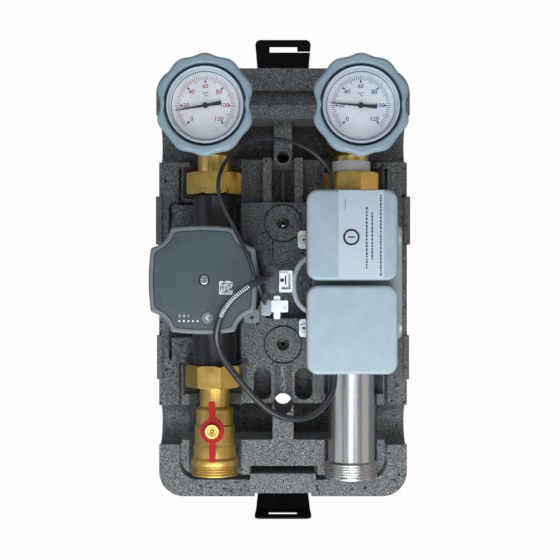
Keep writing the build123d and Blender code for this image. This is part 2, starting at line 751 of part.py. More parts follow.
def box_base(z, height):
    half_w = box_width / 2 - box_wall - free_gap
    half_h = height / 2 - box_wall - free_gap
    tray = slab(box_x - half_w, box_x + half_w, z - half_h, z + half_h, 7.6, box_back, 152)
    return tray - slab(box_x - half_w + 2, box_x + half_w - 2, z - half_h + 2, z + half_h - 2,
                       5.6, box_back + 2.4, 153)


def box_bases():
    upper = box_base(upper_box_z, upper_box_height)
    lower = box_base(lower_box_z, lower_box_height)
    upper += block(40.5, 47.5, box_back, 134.7, 78, 82.6)
    lower += block(41.0, 50.0, 127.6, 134.7, -79, -74)
    return Compound([upper, lower])


def box_cover(z, height):
    half_w = box_width / 2
    cover = slab(box_x - half_w, box_x + half_w, z - height / 2, z + height / 2, box_corner,
                 135, box_front)
    front = cover.faces().sort_by(Axis.Y)[0]
    cover = fillet(front.outer_wire().edges(), 3.0)
    cover -= slab(box_x - half_w + box_wall, box_x + half_w - box_wall,
                  z - height / 2 + box_wall, z + height / 2 - box_wall, 8, 134, 155.6)
    tab_z = z - 3.5 if z > 0 else z
    cover += slab(box_x + half_w - 0.5, box_x + half_w + 2.2, tab_z - 6, tab_z + 6, 1, 138, 150)
    return cover


def terminal_blocks():
    blocks = []
    for z in (upper_box_z, lower_box_z):
        strip = slab(36, 84, z - 8, z + 8, 1.5, box_back + 2.4, 148)
        for index in range(6):
            x = 40 + index * 8
            strip -= outward(2.3, 140, 149, x, z - 3.5)
            strip -= block(x - 2.2, x + 2.2, 138, 146, z + 4, z + 9)
        blocks.append(strip)
    return Compound(blocks)


# ---- leads --------------------------------------------------------------------------------
signal_radius = 1.7
power_radius = 2.9
jumper_radius = 2.4

signal_route = [
    (44.0, -132.8, 82.6), (44.0, -132.8, 91.5), (40.5, -136.5, 101.5), (32.5, -142.5, 110.8),
    (21.5, -149.0, 118.3), (8.5, -156.0, 123.2), (-6.0, -163.0, 125.2), (-20.5, -170.0, 124.2),
    (-33.5, -177.0, 118.8), (-44.0, -184.0, 109.6), (-50.8, -190.5, 98.2), (-54.3, -195.5, 86.0),
    (-53.2, -199.5, 74.0), (-48.7, -203.0, 62.5), (-42.6, -205.6, 51.0), (-36.0, -206.8, 38.5),
    (-29.8, -206.9, 25.5), (-24.8, -206.5, 12.5), (-20.9, -203.4, 0.4), (-17.6, -196.0, -9.4),
    (-15.0, -185.0, -16.4), (-15.0, -172.0, -16.4)]

power_route = [
    (-11.5, -184.0, 5.0), (-11.5, -195.5, 5.0), (-14.5, -206.5, 4.4), (-22.0, -214.6, 1.6),
    (-32.5, -216.4, -4.6), (-42.5, -215.0, -12.8), (-50.0, -212.4, -23.0), (-54.4, -209.0, -34.8),
    (-55.0, -204.0, -47.0), (-51.8, -196.5, -58.4), (-45.5, -188.0, -69.4), (-37.5, -179.0, -80.6),
    (-28.5, -171.0, -92.6), (-17.5, -163.5, -104.6), (-5.0, -157.0, -113.8), (9.0, -151.0, -118.2),
    (22.0, -145.5, -117.0), (33.0, -140.0, -110.6), (41.0, -135.0, -101.4), (45.5, -131.2, -91.0),
    (45.5, -131.2, -79.0)]

jumper_route = [
    (35.5, -118.0, 25.4), (24.0, -118.0, 25.4), (12.6, -118.2, 16.2), (8.6, -118.4, -0.6),
    (12.6, -118.2, -17.4), (24.0, -118.0, -26.6), (35.5, -118.0, -26.6)]


nodes = {
    "epp_back_shell": foam_shell,
    "cover_strap_top": lambda: cover_strap(1, 0.0),
    "cover_strap_bottom": lambda: cover_strap(-1, bottom_strap_lean, bottom_strap_bend),
    "valve_seats": seat_rings,
    "check_valve_cage": check_valve_cage,
    "check_valve_disc": check_valve_disc,
    "check_valve_spring": check_valve_spring,
    "union_nuts": union_nuts,
    "union_gaskets": union_gaskets,
    "pump_housing": pump_housing,
    "impeller": impeller,
    "pump_shaft": pump_shaft,
    "pump_rotor": pump_rotor,
    "shaft_bearings": shaft_bearings,
    "rotor_can": rotor_can,
    "stator": stator,
    "motor_housing": motor_housing,
    "motor_screws": motor_screws,
    "control_box": control_box,
    "control_faceplate": control_faceplate,
    "control_button": control_button,
    "vent_screw": vent_screw,
    "circuit_board": circuit_board,
    "power_plug": power_plug,
    "power_plug_lock": power_plug_lock,
    "signal_plug_housing": signal_plug_housing,
    "signal_plug_latch": signal_plug_latch,
    "shutoff_body": shutoff_body,
    "shutoff_ball": lambda: ball(supply_x, shutoff_z, 13.0, 9.5, 2.8),
    "shutoff_stem": shutoff_stem,
    "shutoff_handle": shutoff_handle,
    "shutoff_nut": shutoff_nut,
    "return_pipe": return_pipe,
    "marking_band": marking_band,
    "mounting_plate": mounting_plate,
    "pipe_brackets": pipe_brackets,
    "bracket_screws": bracket_screws,
    "box_bases": box_bases,
    "upper_box_cover": lambda: box_cover(upper_box_z, upper_box_height),
    "lower_box_cover": lambda: box_cover(lower_box_z, lower_box_height),
    "terminal_blocks": terminal_blocks,
    "signal_cable": lambda: cable("signal_cable", signal_route, signal_radius),
    "power_cable": lambda: cable("power_cable", power_route, power_radius),
    "jumper_cable": lambda: cable("jumper_cable", jumper_route, jumper_radius),
}
for circuit, x, pointer_angle in (("supply", supply_x, 189.6), ("return", return_x, 175.1)):
    nodes[f"{circuit}_valve_body"] = lambda x=x: ball_valve_body(x)
    nodes[f"{circuit}_valve_ball"] = lambda x=x: ball(x, valve_z, ball_radius, bore_radius, 3.6)
    nodes[f"{circuit}_valve_stem"] = lambda x=x: valve_stem(x)
    nodes[f"{circuit}_grip_ring"] = lambda x=x: grip_ring(x)
    nodes[f"{circuit}_thermometer_case"] = lambda x=x: thermometer_case(x)
    nodes[f"{circuit}_dial"] = lambda x=x: dial(x)
    nodes[f"{circuit}_window"] = lambda x=x: dial_window(x)
    nodes[f"{circuit}_pointer"] = lambda x=x, a=pointer_angle: dial_pointer(x, a)

os.makedirs("parts", exist_ok=True)
for name, make in nodes.items():
    export_step(make(), f"parts/{name}.step")
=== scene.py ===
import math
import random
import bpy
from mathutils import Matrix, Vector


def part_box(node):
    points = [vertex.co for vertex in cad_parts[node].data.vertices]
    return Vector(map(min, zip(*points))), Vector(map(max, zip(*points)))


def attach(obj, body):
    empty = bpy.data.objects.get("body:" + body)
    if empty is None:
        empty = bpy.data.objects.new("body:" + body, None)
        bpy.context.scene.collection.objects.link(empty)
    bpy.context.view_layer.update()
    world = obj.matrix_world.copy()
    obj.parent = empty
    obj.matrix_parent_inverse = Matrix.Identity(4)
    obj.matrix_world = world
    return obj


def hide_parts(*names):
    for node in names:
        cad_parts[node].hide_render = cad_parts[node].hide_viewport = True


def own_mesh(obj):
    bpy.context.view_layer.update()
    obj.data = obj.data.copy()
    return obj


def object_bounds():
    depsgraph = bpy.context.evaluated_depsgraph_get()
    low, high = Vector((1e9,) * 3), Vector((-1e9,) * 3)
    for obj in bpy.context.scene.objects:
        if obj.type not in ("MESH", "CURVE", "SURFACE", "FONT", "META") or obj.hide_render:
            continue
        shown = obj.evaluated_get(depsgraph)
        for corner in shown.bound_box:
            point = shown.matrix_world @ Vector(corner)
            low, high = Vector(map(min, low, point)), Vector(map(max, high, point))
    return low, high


bl_info = {
    "name": "Pumped heating-circuit group",
    "version": (1, 0, 0),
    "blender": (4, 5, 0),
    "location": "3D View > Sidebar > Pump group",
    "description": "Finishes, dials, printing, leads and studio for a pumped heating-circuit group",
    "category": "Object",
}

import bmesh
import bpy
from mathutils import Vector

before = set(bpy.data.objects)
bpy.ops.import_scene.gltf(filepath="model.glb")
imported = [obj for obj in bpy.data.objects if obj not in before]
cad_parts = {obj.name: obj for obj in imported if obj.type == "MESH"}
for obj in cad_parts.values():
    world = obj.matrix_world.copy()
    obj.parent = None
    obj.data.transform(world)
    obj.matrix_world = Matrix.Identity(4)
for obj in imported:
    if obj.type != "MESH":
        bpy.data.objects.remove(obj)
cad_low, cad_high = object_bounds()

MM = 0.001


# ---- settings shown in the sidebar -----------------------------------------------------------
def length(name, text, default):
    return bpy.props.FloatProperty(name=name, description=text, default=default, unit="LENGTH")


def colour(name, text, default):
    return bpy.props.FloatVectorProperty(name=name, description=text, default=default, size=4,
                                         subtype="COLOR", min=0.0, max=1.0)


class PumpGroupSizes(bpy.types.PropertyGroup):
    """Sizes of the pieces that are made here"""

    bead_size: length("Foam bead", "Width of one bead of the foam", 3.1 * MM)
    foam_edge: length("Foam edge", "Rounding of the foam's moulded edges", 1.1 * MM)
    metal_edge: length("Metal edge", "Rounding of machined metal edges", 0.35 * MM)
    plastic_edge: length("Plastic edge", "Rounding of small plastic mouldings", 0.5 * MM)
    print_height: length("Print", "Thickness of printed marks", 0.05 * MM)
    number_height: length("Dial numbers", "Height of the numbers on the dials", 3.5 * MM)
    signal_diameter: length("Signal lead", "Diameter of the pump's signal lead", 3.4 * MM)
    power_diameter: length("Power lead", "Diameter of the pump's power lead", 5.8 * MM)
    jumper_diameter: length("Jumper lead", "Diameter of the lead between the boxes", 4.8 * MM)
    check_travel: length("Brake travel", "How far the gravity brake's disc moves", 6.0 * MM)


class PumpGroupColours(bpy.types.PropertyGroup):
    """Colours of the finishes"""

    foam: colour("Foam", "Bead foam of the shell", (0.112, 0.125, 0.130, 1))
    brass: colour("Brass", "Machined and cast brass", (0.68, 0.46, 0.12, 1))
    zinc: colour("Zinc", "Zinc plating on steel", (0.60, 0.62, 0.62, 1))
    iron: colour("Iron", "Painted cast iron", (0.0065, 0.007, 0.008, 1))
    grip: colour("Grips", "Plastic of the hand rings", (0.226, 0.318, 0.376, 1))
    # The cases are white plastic; this blue-grey is painted shade for the lip, which lies in the
    # shadow of the hand ring.
    gauge: colour("Gauges", "White plastic of the thermometers", (0.50, 0.56, 0.635, 1))
    supply: colour("Supply print", "Print on the supply thermometer", (0.45, 0.02, 0.04, 1))
    back: colour("Return print", "Print on the return thermometer", (0.02, 0.055, 0.28, 1))
    head: colour("Pump head", "Plastic frame of the pump head", (0.135, 0.160, 0.168, 1))
    face: colour("Pump face", "Dark film on the pump head", (0.052, 0.072, 0.081, 1))
    lever: colour("Lever", "Red dip coating on the lower lever", (0.37, 0.0015, 0.010, 1))
    boxes: colour("Boxes", "Plastic of the wiring boxes", (0.325, 0.41, 0.455, 1))
    plate: colour("Plate", "Plastic plate behind the boxes", (0.31, 0.37, 0.365, 1))
    leads: colour("Leads", "Jacket of the black leads", (0.012, 0.014, 0.018, 1))
    jumper: colour("Jumper", "Jacket of the grey lead", (0.42, 0.47, 0.52, 1))


class PumpGroupStudio(bpy.types.PropertyGroup):
    """Camera and light"""

    camera_distance: length("Camera distance", "From the wall plane to the lens", 1.140)
    camera_height: length("Camera height", "Height of the lens above the origin", 3.5 * MM)
    hanging_height: length("Hanging height", "From the floor up to the lowest piece", 0.85)
    lens: bpy.props.FloatProperty(name="Lens", description="Focal length in millimetres",
                                  default=73.0)
    key_power: bpy.props.FloatProperty(name="Key", description="Power of the front panel, in watts",
                                       default=5.2)
    low_power: bpy.props.FloatProperty(name="Low", description="Power of the low softbox, in watts",
                                       default=3.3)


def sizes():
    return bpy.context.scene.pump_group_sizes


def tints():
    return bpy.context.scene.pump_group_colours


# ---- node helpers ------------------------------------------------------------------------------
class Sheet:
    """A node tree with short calls for adding and joining nodes."""

    def __init__(self, tree):
        self.tree = tree

    def add(self, kind, values=None, **settings):
        node = self.tree.nodes.new(kind)
        for key, value in settings.items():
            setattr(node, key, value)
        for key, value in (values or {}).items():
            if isinstance(value, bpy.types.NodeSocket):
                self.tree.links.new(value, node.inputs[key])
            else:
                node.inputs[key].default_value = value
        return node

    def math(self, operation, first, second=0.5, clamp=False):
        node = self.add("ShaderNodeMath", {0: first, 1: second}, operation=operation)
        node.use_clamp = clamp
        return node.outputs[0]

    def vector_math(self, operation, first, second):
        return self.add("ShaderNodeVectorMath", {0: first, 1: second}, operation=operation)

    def span(self, value, low, high, to_low=0.0, to_high=1.0):
        node = self.add("ShaderNodeMapRange", {"Value": value, "From Min": low, "From Max": high,
                                               "To Min": to_low, "To Max": to_high})
        return node.outputs["Result"]

    def mix(self, factor, first, second):
        return self.add("ShaderNodeMix", {0: factor, 6: first, 7: second},
                        data_type="RGBA").outputs[2]

    def noise(self, coordinates, scale, detail=3.0, roughness=0.55):
        node = self.add("ShaderNodeTexNoise", {"Vector": coordinates, "Scale": scale,
                                               "Detail": detail, "Roughness": roughness})
        return node.outputs["Fac"]

    def group(self, tree, **values):
        node = self.tree.nodes.new("ShaderNodeGroup")
        node.node_tree = tree
        for key, value in values.items():
            socket = node.inputs[key.replace("_", " ")]
            if isinstance(value, bpy.types.NodeSocket):
                self.tree.links.new(value, socket)
            else:
                socket.default_value = value
        return node

    def bump(self, height, strength, distance):
        return self.add("ShaderNodeBump", {"Height": height, "Strength": strength,
                                           "Distance": distance}).outputs["Normal"]

    def place(self):
        return self.add("ShaderNodeTexCoord").outputs["Object"]

    def per(self, label):
        """One over a length that comes into a node group, as a texture scale."""
        return self.math("DIVIDE", 1.0, self.inside.outputs[label])

    def give(self, **values):
        """Put out the values of a node group."""
        for key, value in values.items():
            self.tree.links.new(value, self.out.inputs[key])

    def cover(self, mask, share, shade, tint):
        """Lay a tint over a shade where a mask group says, at most by the share."""
        return self.mix(self.math("MULTIPLY", mask.outputs["Mask"], share), shade, tint)

    def worn(self, shade, tint, share, width, breakup):
        """A tint along the edges, broken up as by handling."""
        edge = self.group(GROUPS["wear"], Width=width, Breakup=breakup)
        return self.cover(edge, share, shade, tint)

    def dusty(self, shade, tint, share, patches):
        """Dust in patches on what faces up."""
        settled = self.group(GROUPS["dust"], Patches=patches)
        return self.cover(settled, share, shade, tint)

    def mottled(self, tint, low, high, size, clumps):
        """Moulded or cast grain and the shade that follows it."""
        grain = self.group(GROUPS["grain"], Size=size, Clumps=clumps)
        return grain, self.mix(grain.outputs["Value"], darker(tint, low), darker(tint, high))

    def gloss(self, grain, low, high):
        """A value that follows the grain from low to high."""
        return self.span(grain.outputs["Value"], 0.0, 1.0, low, high)


def new_group(name, inputs, outputs):
    """An empty shader node group; inputs and outputs are (name, socket kind, default)."""
    tree = bpy.data.node_groups.new(name, "ShaderNodeTree")
    for label, kind, default in inputs:
        socket = tree.interface.new_socket(label, in_out="INPUT", socket_type=kind)
        socket.default_value = default
    for label, kind in outputs:
        tree.interface.new_socket(label, in_out="OUTPUT", socket_type=kind)
    sheet = Sheet(tree)
    sheet.inside = tree.nodes.new("NodeGroupInput")
    sheet.out = tree.nodes.new("NodeGroupOutput")
    return sheet


FLOAT = "NodeSocketFloat"


def build_grain():
    """Fine moulded grain: a value from 0 to 1 and a height, from two sizes of noise."""
    sheet = new_group("Grain", [("Size", FLOAT, 0.5 * MM), ("Clumps", FLOAT, 12 * MM)],
                      [("Value", FLOAT), ("Height", FLOAT)])
    place = sheet.place()
    fine = sheet.noise(place, sheet.per("Size"), 2.0)
    broad = sheet.noise(place, sheet.per("Clumps"), 4.0)
    both = sheet.math("ADD", sheet.math("MULTIPLY", fine, 0.35), sheet.math("MULTIPLY", broad, 0.65))
    sheet.give(Value=sheet.span(both, 0.32, 0.68), Height=fine)
    return sheet.tree


def build_edge_wear():
    """A mask that is 1 along convex and concave edges, broken up by noise."""
    sheet = new_group("Edge wear", [("Width", FLOAT, 0.8 * MM), ("Breakup", FLOAT, 3 * MM)],
                      [("Mask", FLOAT)])
    rounded = sheet.add("ShaderNodeBevel", {"Radius": sheet.inside.outputs["Width"]}, samples=4)
    facing = sheet.add("ShaderNodeNewGeometry").outputs["Normal"]
    alike = sheet.vector_math("DOT_PRODUCT", rounded.outputs["Normal"], facing).outputs["Value"]
    edge = sheet.span(alike, 0.995, 0.85)
    place = sheet.place()
    scale = sheet.per("Breakup")
    broken = sheet.span(sheet.noise(place, scale, 4.0, 0.6), 0.42, 0.60)
    sheet.give(Mask=sheet.math("MULTIPLY", edge, broken, clamp=True))
    return sheet.tree


def build_dust():
    """Light dust that settles on what faces up."""
    sheet = new_group("Dust", [("Patches", FLOAT, 18 * MM)], [("Mask", FLOAT)])
    facing = sheet.add("ShaderNodeNewGeometry").outputs["Normal"]
    height = sheet.add("ShaderNodeSeparateXYZ", {0: facing}).outputs["Z"]
    up = sheet.span(height, 0.25, 1.0)
    place = sheet.place()
    scale = sheet.per("Patches")
    patches = sheet.span(sheet.noise(place, scale, 6.0, 0.65), 0.38, 0.70)
    sheet.give(Mask=sheet.math("MULTIPLY", up, patches, clamp=True))
    return sheet.tree


def build_streaks():
    """Fine lines along the height, as on drawn tube or brushed sheet."""
    sheet = new_group("Streaks", [("Width", FLOAT, 0.4 * MM), ("Length", FLOAT, 40 * MM)],
                      [("Value", FLOAT)])
    place = sheet.place()
    across = sheet.per("Width")
    along = sheet.per("Length")
    scale = sheet.add("ShaderNodeCombineXYZ", {"X": across, "Y": across, "Z": along}).outputs[0]
    stretched = sheet.vector_math("MULTIPLY", place, scale).outputs["Vector"]
    sheet.give(Value=sheet.span(sheet.noise(stretched, 1.0, 3.0), 0.3, 0.7))
    return sheet.tree


def build_turning():
    """Rings left by the tool on pieces turned about an upright line."""
    sheet = new_group("Turning marks", [("Pitch", FLOAT, 0.35 * MM)], [("Value", FLOAT)])
    place = sheet.place()
    height = sheet.add("ShaderNodeSeparateXYZ", {0: place}).outputs["Z"]
    turns = sheet.math("DIVIDE", height, sheet.inside.outputs["Pitch"])
    wave = sheet.math("SINE", sheet.math("MULTIPLY", turns, 2 * math.pi), 0.0)
    patchy = sheet.noise(place, 90.0, 3.0)
    sheet.give(Value=sheet.span(sheet.math("MULTIPLY", wave, patchy), -0.6, 0.6))
    return sheet.tree


def build_beads():
    """Fused foam beads: each cell's own shade, the pits between them and a height."""
    sheet = new_group("Foam beads", [("Size", FLOAT, 3 * MM)],
                      [("Shade", FLOAT), ("Pits", FLOAT), ("Specks", FLOAT), ("Height", FLOAT)])
    place = sheet.place()
    warp = sheet.add("ShaderNodeTexNoise", {"Vector": place, "Scale": 300.0, "Detail": 1.0})
    shift = sheet.vector_math("SUBTRACT", warp.outputs["Color"], (0.5, 0.5, 0.5)).outputs["Vector"]
    shift = sheet.vector_math("MULTIPLY", shift, (0.0022, 0.0022, 0.0022)).outputs["Vector"]
    place = sheet.vector_math("ADD", place, shift).outputs["Vector"]
    scale = sheet.per("Size")
    cells = sheet.add("ShaderNodeTexVoronoi", {"Vector": place, "Scale": scale}, feature="F1")
    rims = sheet.add("ShaderNodeTexVoronoi", {"Vector": place, "Scale": scale},
                     feature="DISTANCE_TO_EDGE")
    shade = sheet.add("ShaderNodeSeparateColor", {0: cells.outputs["Color"]}).outputs[0]
    gaps = sheet.span(cells.outputs["Distance"], 0.80, 0.92)
    crumbs = sheet.span(sheet.noise(place, 1100.0, 1.0), 0.60, 0.68)
    pits = sheet.math("MAXIMUM", gaps, crumbs, clamp=True)
    specks = sheet.span(sheet.noise(place, 760.0, 3.0, 0.75), 0.34, 0.64)
    rim = sheet.span(rims.outputs["Distance"], 0.0, 0.30)
    height = sheet.math("SUBTRACT", rim, sheet.math("MULTIPLY", pits, 1.2))
    sheet.give(Shade=shade, Pits=pits, Specks=specks, Height=height)
    return sheet.tree


GROUPS = {}
FINISHES = {}


def build_groups():
    GROUPS.update(grain=build_grain(), wear=build_edge_wear(), dust=build_dust(),
                  streaks=build_streaks(), turning=build_turning(), beads=build_beads())


def blank_finish(name):
    """A new material with its Principled shader; returns the sheet and the shader."""
    material = bpy.data.materials.new(name)
    material.use_nodes = True
    tree = material.node_tree
    FINISHES[name] = material
    return Sheet(tree), tree.nodes["Principled BSDF"]


def connect(sheet, shader, **values):
    for key, value in values.items():
        socket = shader.inputs[key.replace("_", " ")]
        if isinstance(value, bpy.types.NodeSocket):
            sheet.tree.links.new(value, socket)
        else:
            socket.default_value = value


def darker(tint, factor):
    return (tint[0] * factor, tint[1] * factor, tint[2] * factor, 1.0)


def paler(tint, factor):
    """The colour of a worn edge."""
    return tuple(min(1.0, part * factor + 0.05) for part in tint[:3]) + (1.0,)


# ---- finishes ------------------------------------------------------------------------------------
def foam_finish():
    """Black bead foam: fused beads with pits between them painted near black as shade, grey specks
    and a skin sheen.
    """
    sheet, shader = blank_finish("bead foam")
    base = tints().foam
    beads = sheet.group(GROUPS["beads"], Size=sizes().bead_size)
    shade = sheet.mix(beads.outputs["Shade"], darker(base, 0.80), darker(base, 1.15))
    shade = sheet.mix(beads.outputs["Specks"], darker(base, 0.30), shade)
    bright = sheet.span(beads.outputs["Specks"], 0.66, 1.0, 0.0, 0.62)
    shade = sheet.mix(bright, shade, darker(base, 3.2))
    # Painted shade: the pits and crumbs between the beads turn near black, as the shadow in those
    # hollows.
    shade = sheet.mix(beads.outputs["Pits"], shade, (0.004, 0.004, 0.005, 1))
    shade = sheet.dusty(shade, (0.20, 0.20, 0.20, 1), 0.12, 30 * MM)
    gloss = sheet.span(beads.outputs["Shade"], 0.0, 1.0, 0.44, 0.60)
    gloss = sheet.math("ADD", gloss, sheet.math("MULTIPLY", beads.outputs["Pits"], 0.4), clamp=True)
    normal = sheet.bump(beads.outputs["Height"], 0.45, 0.30 * MM)
    connect(sheet, shader, Base_Color=shade, Roughness=gloss, Normal=normal,
            Specular_IOR_Level=0.55, Sheen_Weight=0.25, Sheen_Roughness=0.4)


def plastic_finish(name, tint, rough, grain, relief, wear, dust, specular=0.5, coat=0.0):
    """Moulded plastic: slight mottling, spark-eroded grain, paler worn edges and dust."""
    sheet, shader = blank_finish(name)
    grains, shade = sheet.mottled(tint, 0.90, 1.08, grain * MM, 16 * MM)
    shade = sheet.worn(shade, paler(tint, 1.25), wear, 0.5 * MM, 2.5 * MM)
    shade = sheet.dusty(shade, (0.45, 0.43, 0.40, 1), dust, 14 * MM)
    gloss = sheet.gloss(grains, rough - 0.05, rough + 0.07)
    normal = sheet.bump(grains.outputs["Height"], relief, 0.05 * MM)
    connect(sheet, shader, Base_Color=shade, Roughness=gloss, Normal=normal,
            Specular_IOR_Level=specular, Coat_Weight=coat, Coat_Roughness=0.12)


def brass_finish(name, cast):
    """Brass: turned with fine rings, or cast with a coarse skin; both a little tarnished."""
    sheet, shader = blank_finish(name)
    tint = tints().brass
    skin, shade = sheet.mottled(tint, 0.74, 1.05, (0.9 if cast else 0.3) * MM, 11 * MM)
    tarnish = sheet.noise(sheet.place(), 55.0, 5.0, 0.6)
    stain = sheet.span(tarnish, 0.52, 0.72, 0.0, 0.45)
    shade = sheet.mix(stain, shade, (0.36, 0.21, 0.075, 1))
    shade = sheet.worn(shade, (0.90, 0.72, 0.36, 1), 0.5, 0.6 * MM, 4 * MM)
    rough = sheet.gloss(skin, *((0.40, 0.55) if cast else (0.24, 0.34)))
    rough = sheet.math("ADD", rough, sheet.math("MULTIPLY", stain, 0.25), clamp=True)
    if cast:
        normal = sheet.bump(skin.outputs["Height"], 0.30, 0.22 * MM)
    else:
        rings = sheet.group(GROUPS["turning"], Pitch=0.42 * MM)
        normal = sheet.bump(rings.outputs["Value"], 0.10, 0.03 * MM)
    connect(sheet, shader, Base_Color=shade, Metallic=1.0, Roughness=rough, Normal=normal)


def zinc_finish(name, rough, streak_length):
    """Bright zinc on steel: long drawing streaks and faint warm and cool passivation."""
    sheet, shader = blank_finish(name)
    tint = tints().zinc
    streaks = sheet.group(GROUPS["streaks"], Width=0.5 * MM, Length=streak_length)
    place = sheet.place()
    film = sheet.span(sheet.noise(place, 34.0, 3.0), 0.36, 0.66)
    shade = sheet.mix(film, (tint[0] * 0.96, tint[1] * 1.0, tint[2] * 1.06, 1),
                      (tint[0] * 1.04, tint[1] * 0.98, tint[2] * 0.88, 1))
    shade = sheet.mix(sheet.span(streaks.outputs["Value"], 0, 1, 0, 0.35), shade,
                      darker(tint, 0.72))
    shade = sheet.worn(shade, (0.85, 0.86, 0.88, 1), 0.4, 0.5 * MM, 3 * MM)
    gloss = sheet.span(streaks.outputs["Value"], 0.0, 1.0, rough, rough + 0.12)
    normal = sheet.bump(streaks.outputs["Value"], 0.06, 0.02 * MM)
    connect(sheet, shader, Base_Color=shade, Metallic=1.0, Roughness=gloss, Normal=normal)


def iron_finish():
    """Cataphoretic black on rough castings."""
    sheet, shader = blank_finish("painted iron")
    tint = tints().iron
    skin, shade = sheet.mottled(tint, 0.7, 1.8, 0.9 * MM, 9 * MM)
    shade = sheet.worn(shade, (0.16, 0.16, 0.17, 1), 0.35, 0.9 * MM, 4 * MM)
    gloss = sheet.gloss(skin, 0.22, 0.42)
    normal = sheet.bump(skin.outputs["Height"], 0.45, 0.30 * MM)
    connect(sheet, shader, Base_Color=shade, Roughness=gloss, Normal=normal)


def metal_finish(name, tint, rough, relief=0.1, size=0.5 * MM):
    """Plain metal with a fine cast or ground skin."""
    sheet, shader = blank_finish(name)
    skin, shade = sheet.mottled(tint, 0.82, 1.1, size, 10 * MM)
    shade = sheet.worn(shade, paler(tint, 1.3), 0.4, 0.5 * MM, 3 * MM)
    gloss = sheet.gloss(skin, rough - 0.04, rough + 0.09)
    normal = sheet.bump(skin.outputs["Height"], relief, 0.06 * MM)
    connect(sheet, shader, Base_Color=shade, Metallic=1.0, Roughness=gloss, Normal=normal)


def lacquer_finish():
    """Thick red dip coating with a soft gloss and rubbed corners."""
    sheet, shader = blank_finish("red coating")
    tint = tints().lever
    skin, shade = sheet.mottled(tint, 0.78, 1.12, 1.1 * MM, 7 * MM)
    shade = sheet.worn(shade, (0.60, 0.05, 0.08, 1), 0.45, 0.6 * MM, 2 * MM)
    gloss = sheet.gloss(skin, 0.24, 0.36)
    normal = sheet.bump(skin.outputs["Height"], 0.12, 0.12 * MM)
    connect(sheet, shader, Base_Color=shade, Roughness=gloss, Normal=normal,
            Specular_IOR_Level=0.12)


def glass_finish():
    """Clear dial window whose gloss is slightly uneven."""
    sheet, shader = blank_finish("dial window")
    skin = sheet.group(GROUPS["grain"], Size=1.5 * MM, Clumps=20 * MM)
    gloss = sheet.gloss(skin, 0.03, 0.09)
    clear = sheet.gloss(skin, 0.05, 0.08)
    connect(sheet, shader, Base_Color=(0.10, 0.12, 0.14, 1), Roughness=gloss, Alpha=clear)


def lead_finish(name, tint):
    """Soft cable jacket with a faintly uneven skin, dusty on top."""
    sheet, shader = blank_finish(name)
    skin, shade = sheet.mottled(tint, 0.8, 1.25, 0.4 * MM, 8 * MM)
    shade = sheet.dusty(shade, (0.35, 0.34, 0.33, 1), 0.12, 6 * MM)
    gloss = sheet.gloss(skin, 0.30, 0.42)
    normal = sheet.bump(skin.outputs["Height"], 0.06, 0.05 * MM)
    connect(sheet, shader, Base_Color=shade, Roughness=gloss, Normal=normal,
            Specular_IOR_Level=0.6)


def print_finish(name, tint, rough=0.5):
    """Screen print: slightly uneven ink."""
    sheet, shader = blank_finish(name)
    _, shade = sheet.mottled(tint, 0.85, 1.1, 0.15 * MM, 2 * MM)
    connect(sheet, shader, Base_Color=shade, Roughness=rough)


def paper_finish():
    """Matt label film with a faintly uneven tone."""
    sheet, shader = blank_finish("label film")
    skin = sheet.group(GROUPS["grain"], Size=0.25 * MM, Clumps=25 * MM)
    shade = sheet.mix(skin.outputs["Value"], (0.43, 0.51, 0.575, 1), (0.47, 0.545, 0.60, 1))
    gloss = sheet.gloss(skin, 0.42, 0.55)
    normal = sheet.bump(skin.outputs["Height"], 0.05, 0.02 * MM)
    connect(sheet, shader, Base_Color=shade, Roughness=gloss, Normal=normal)


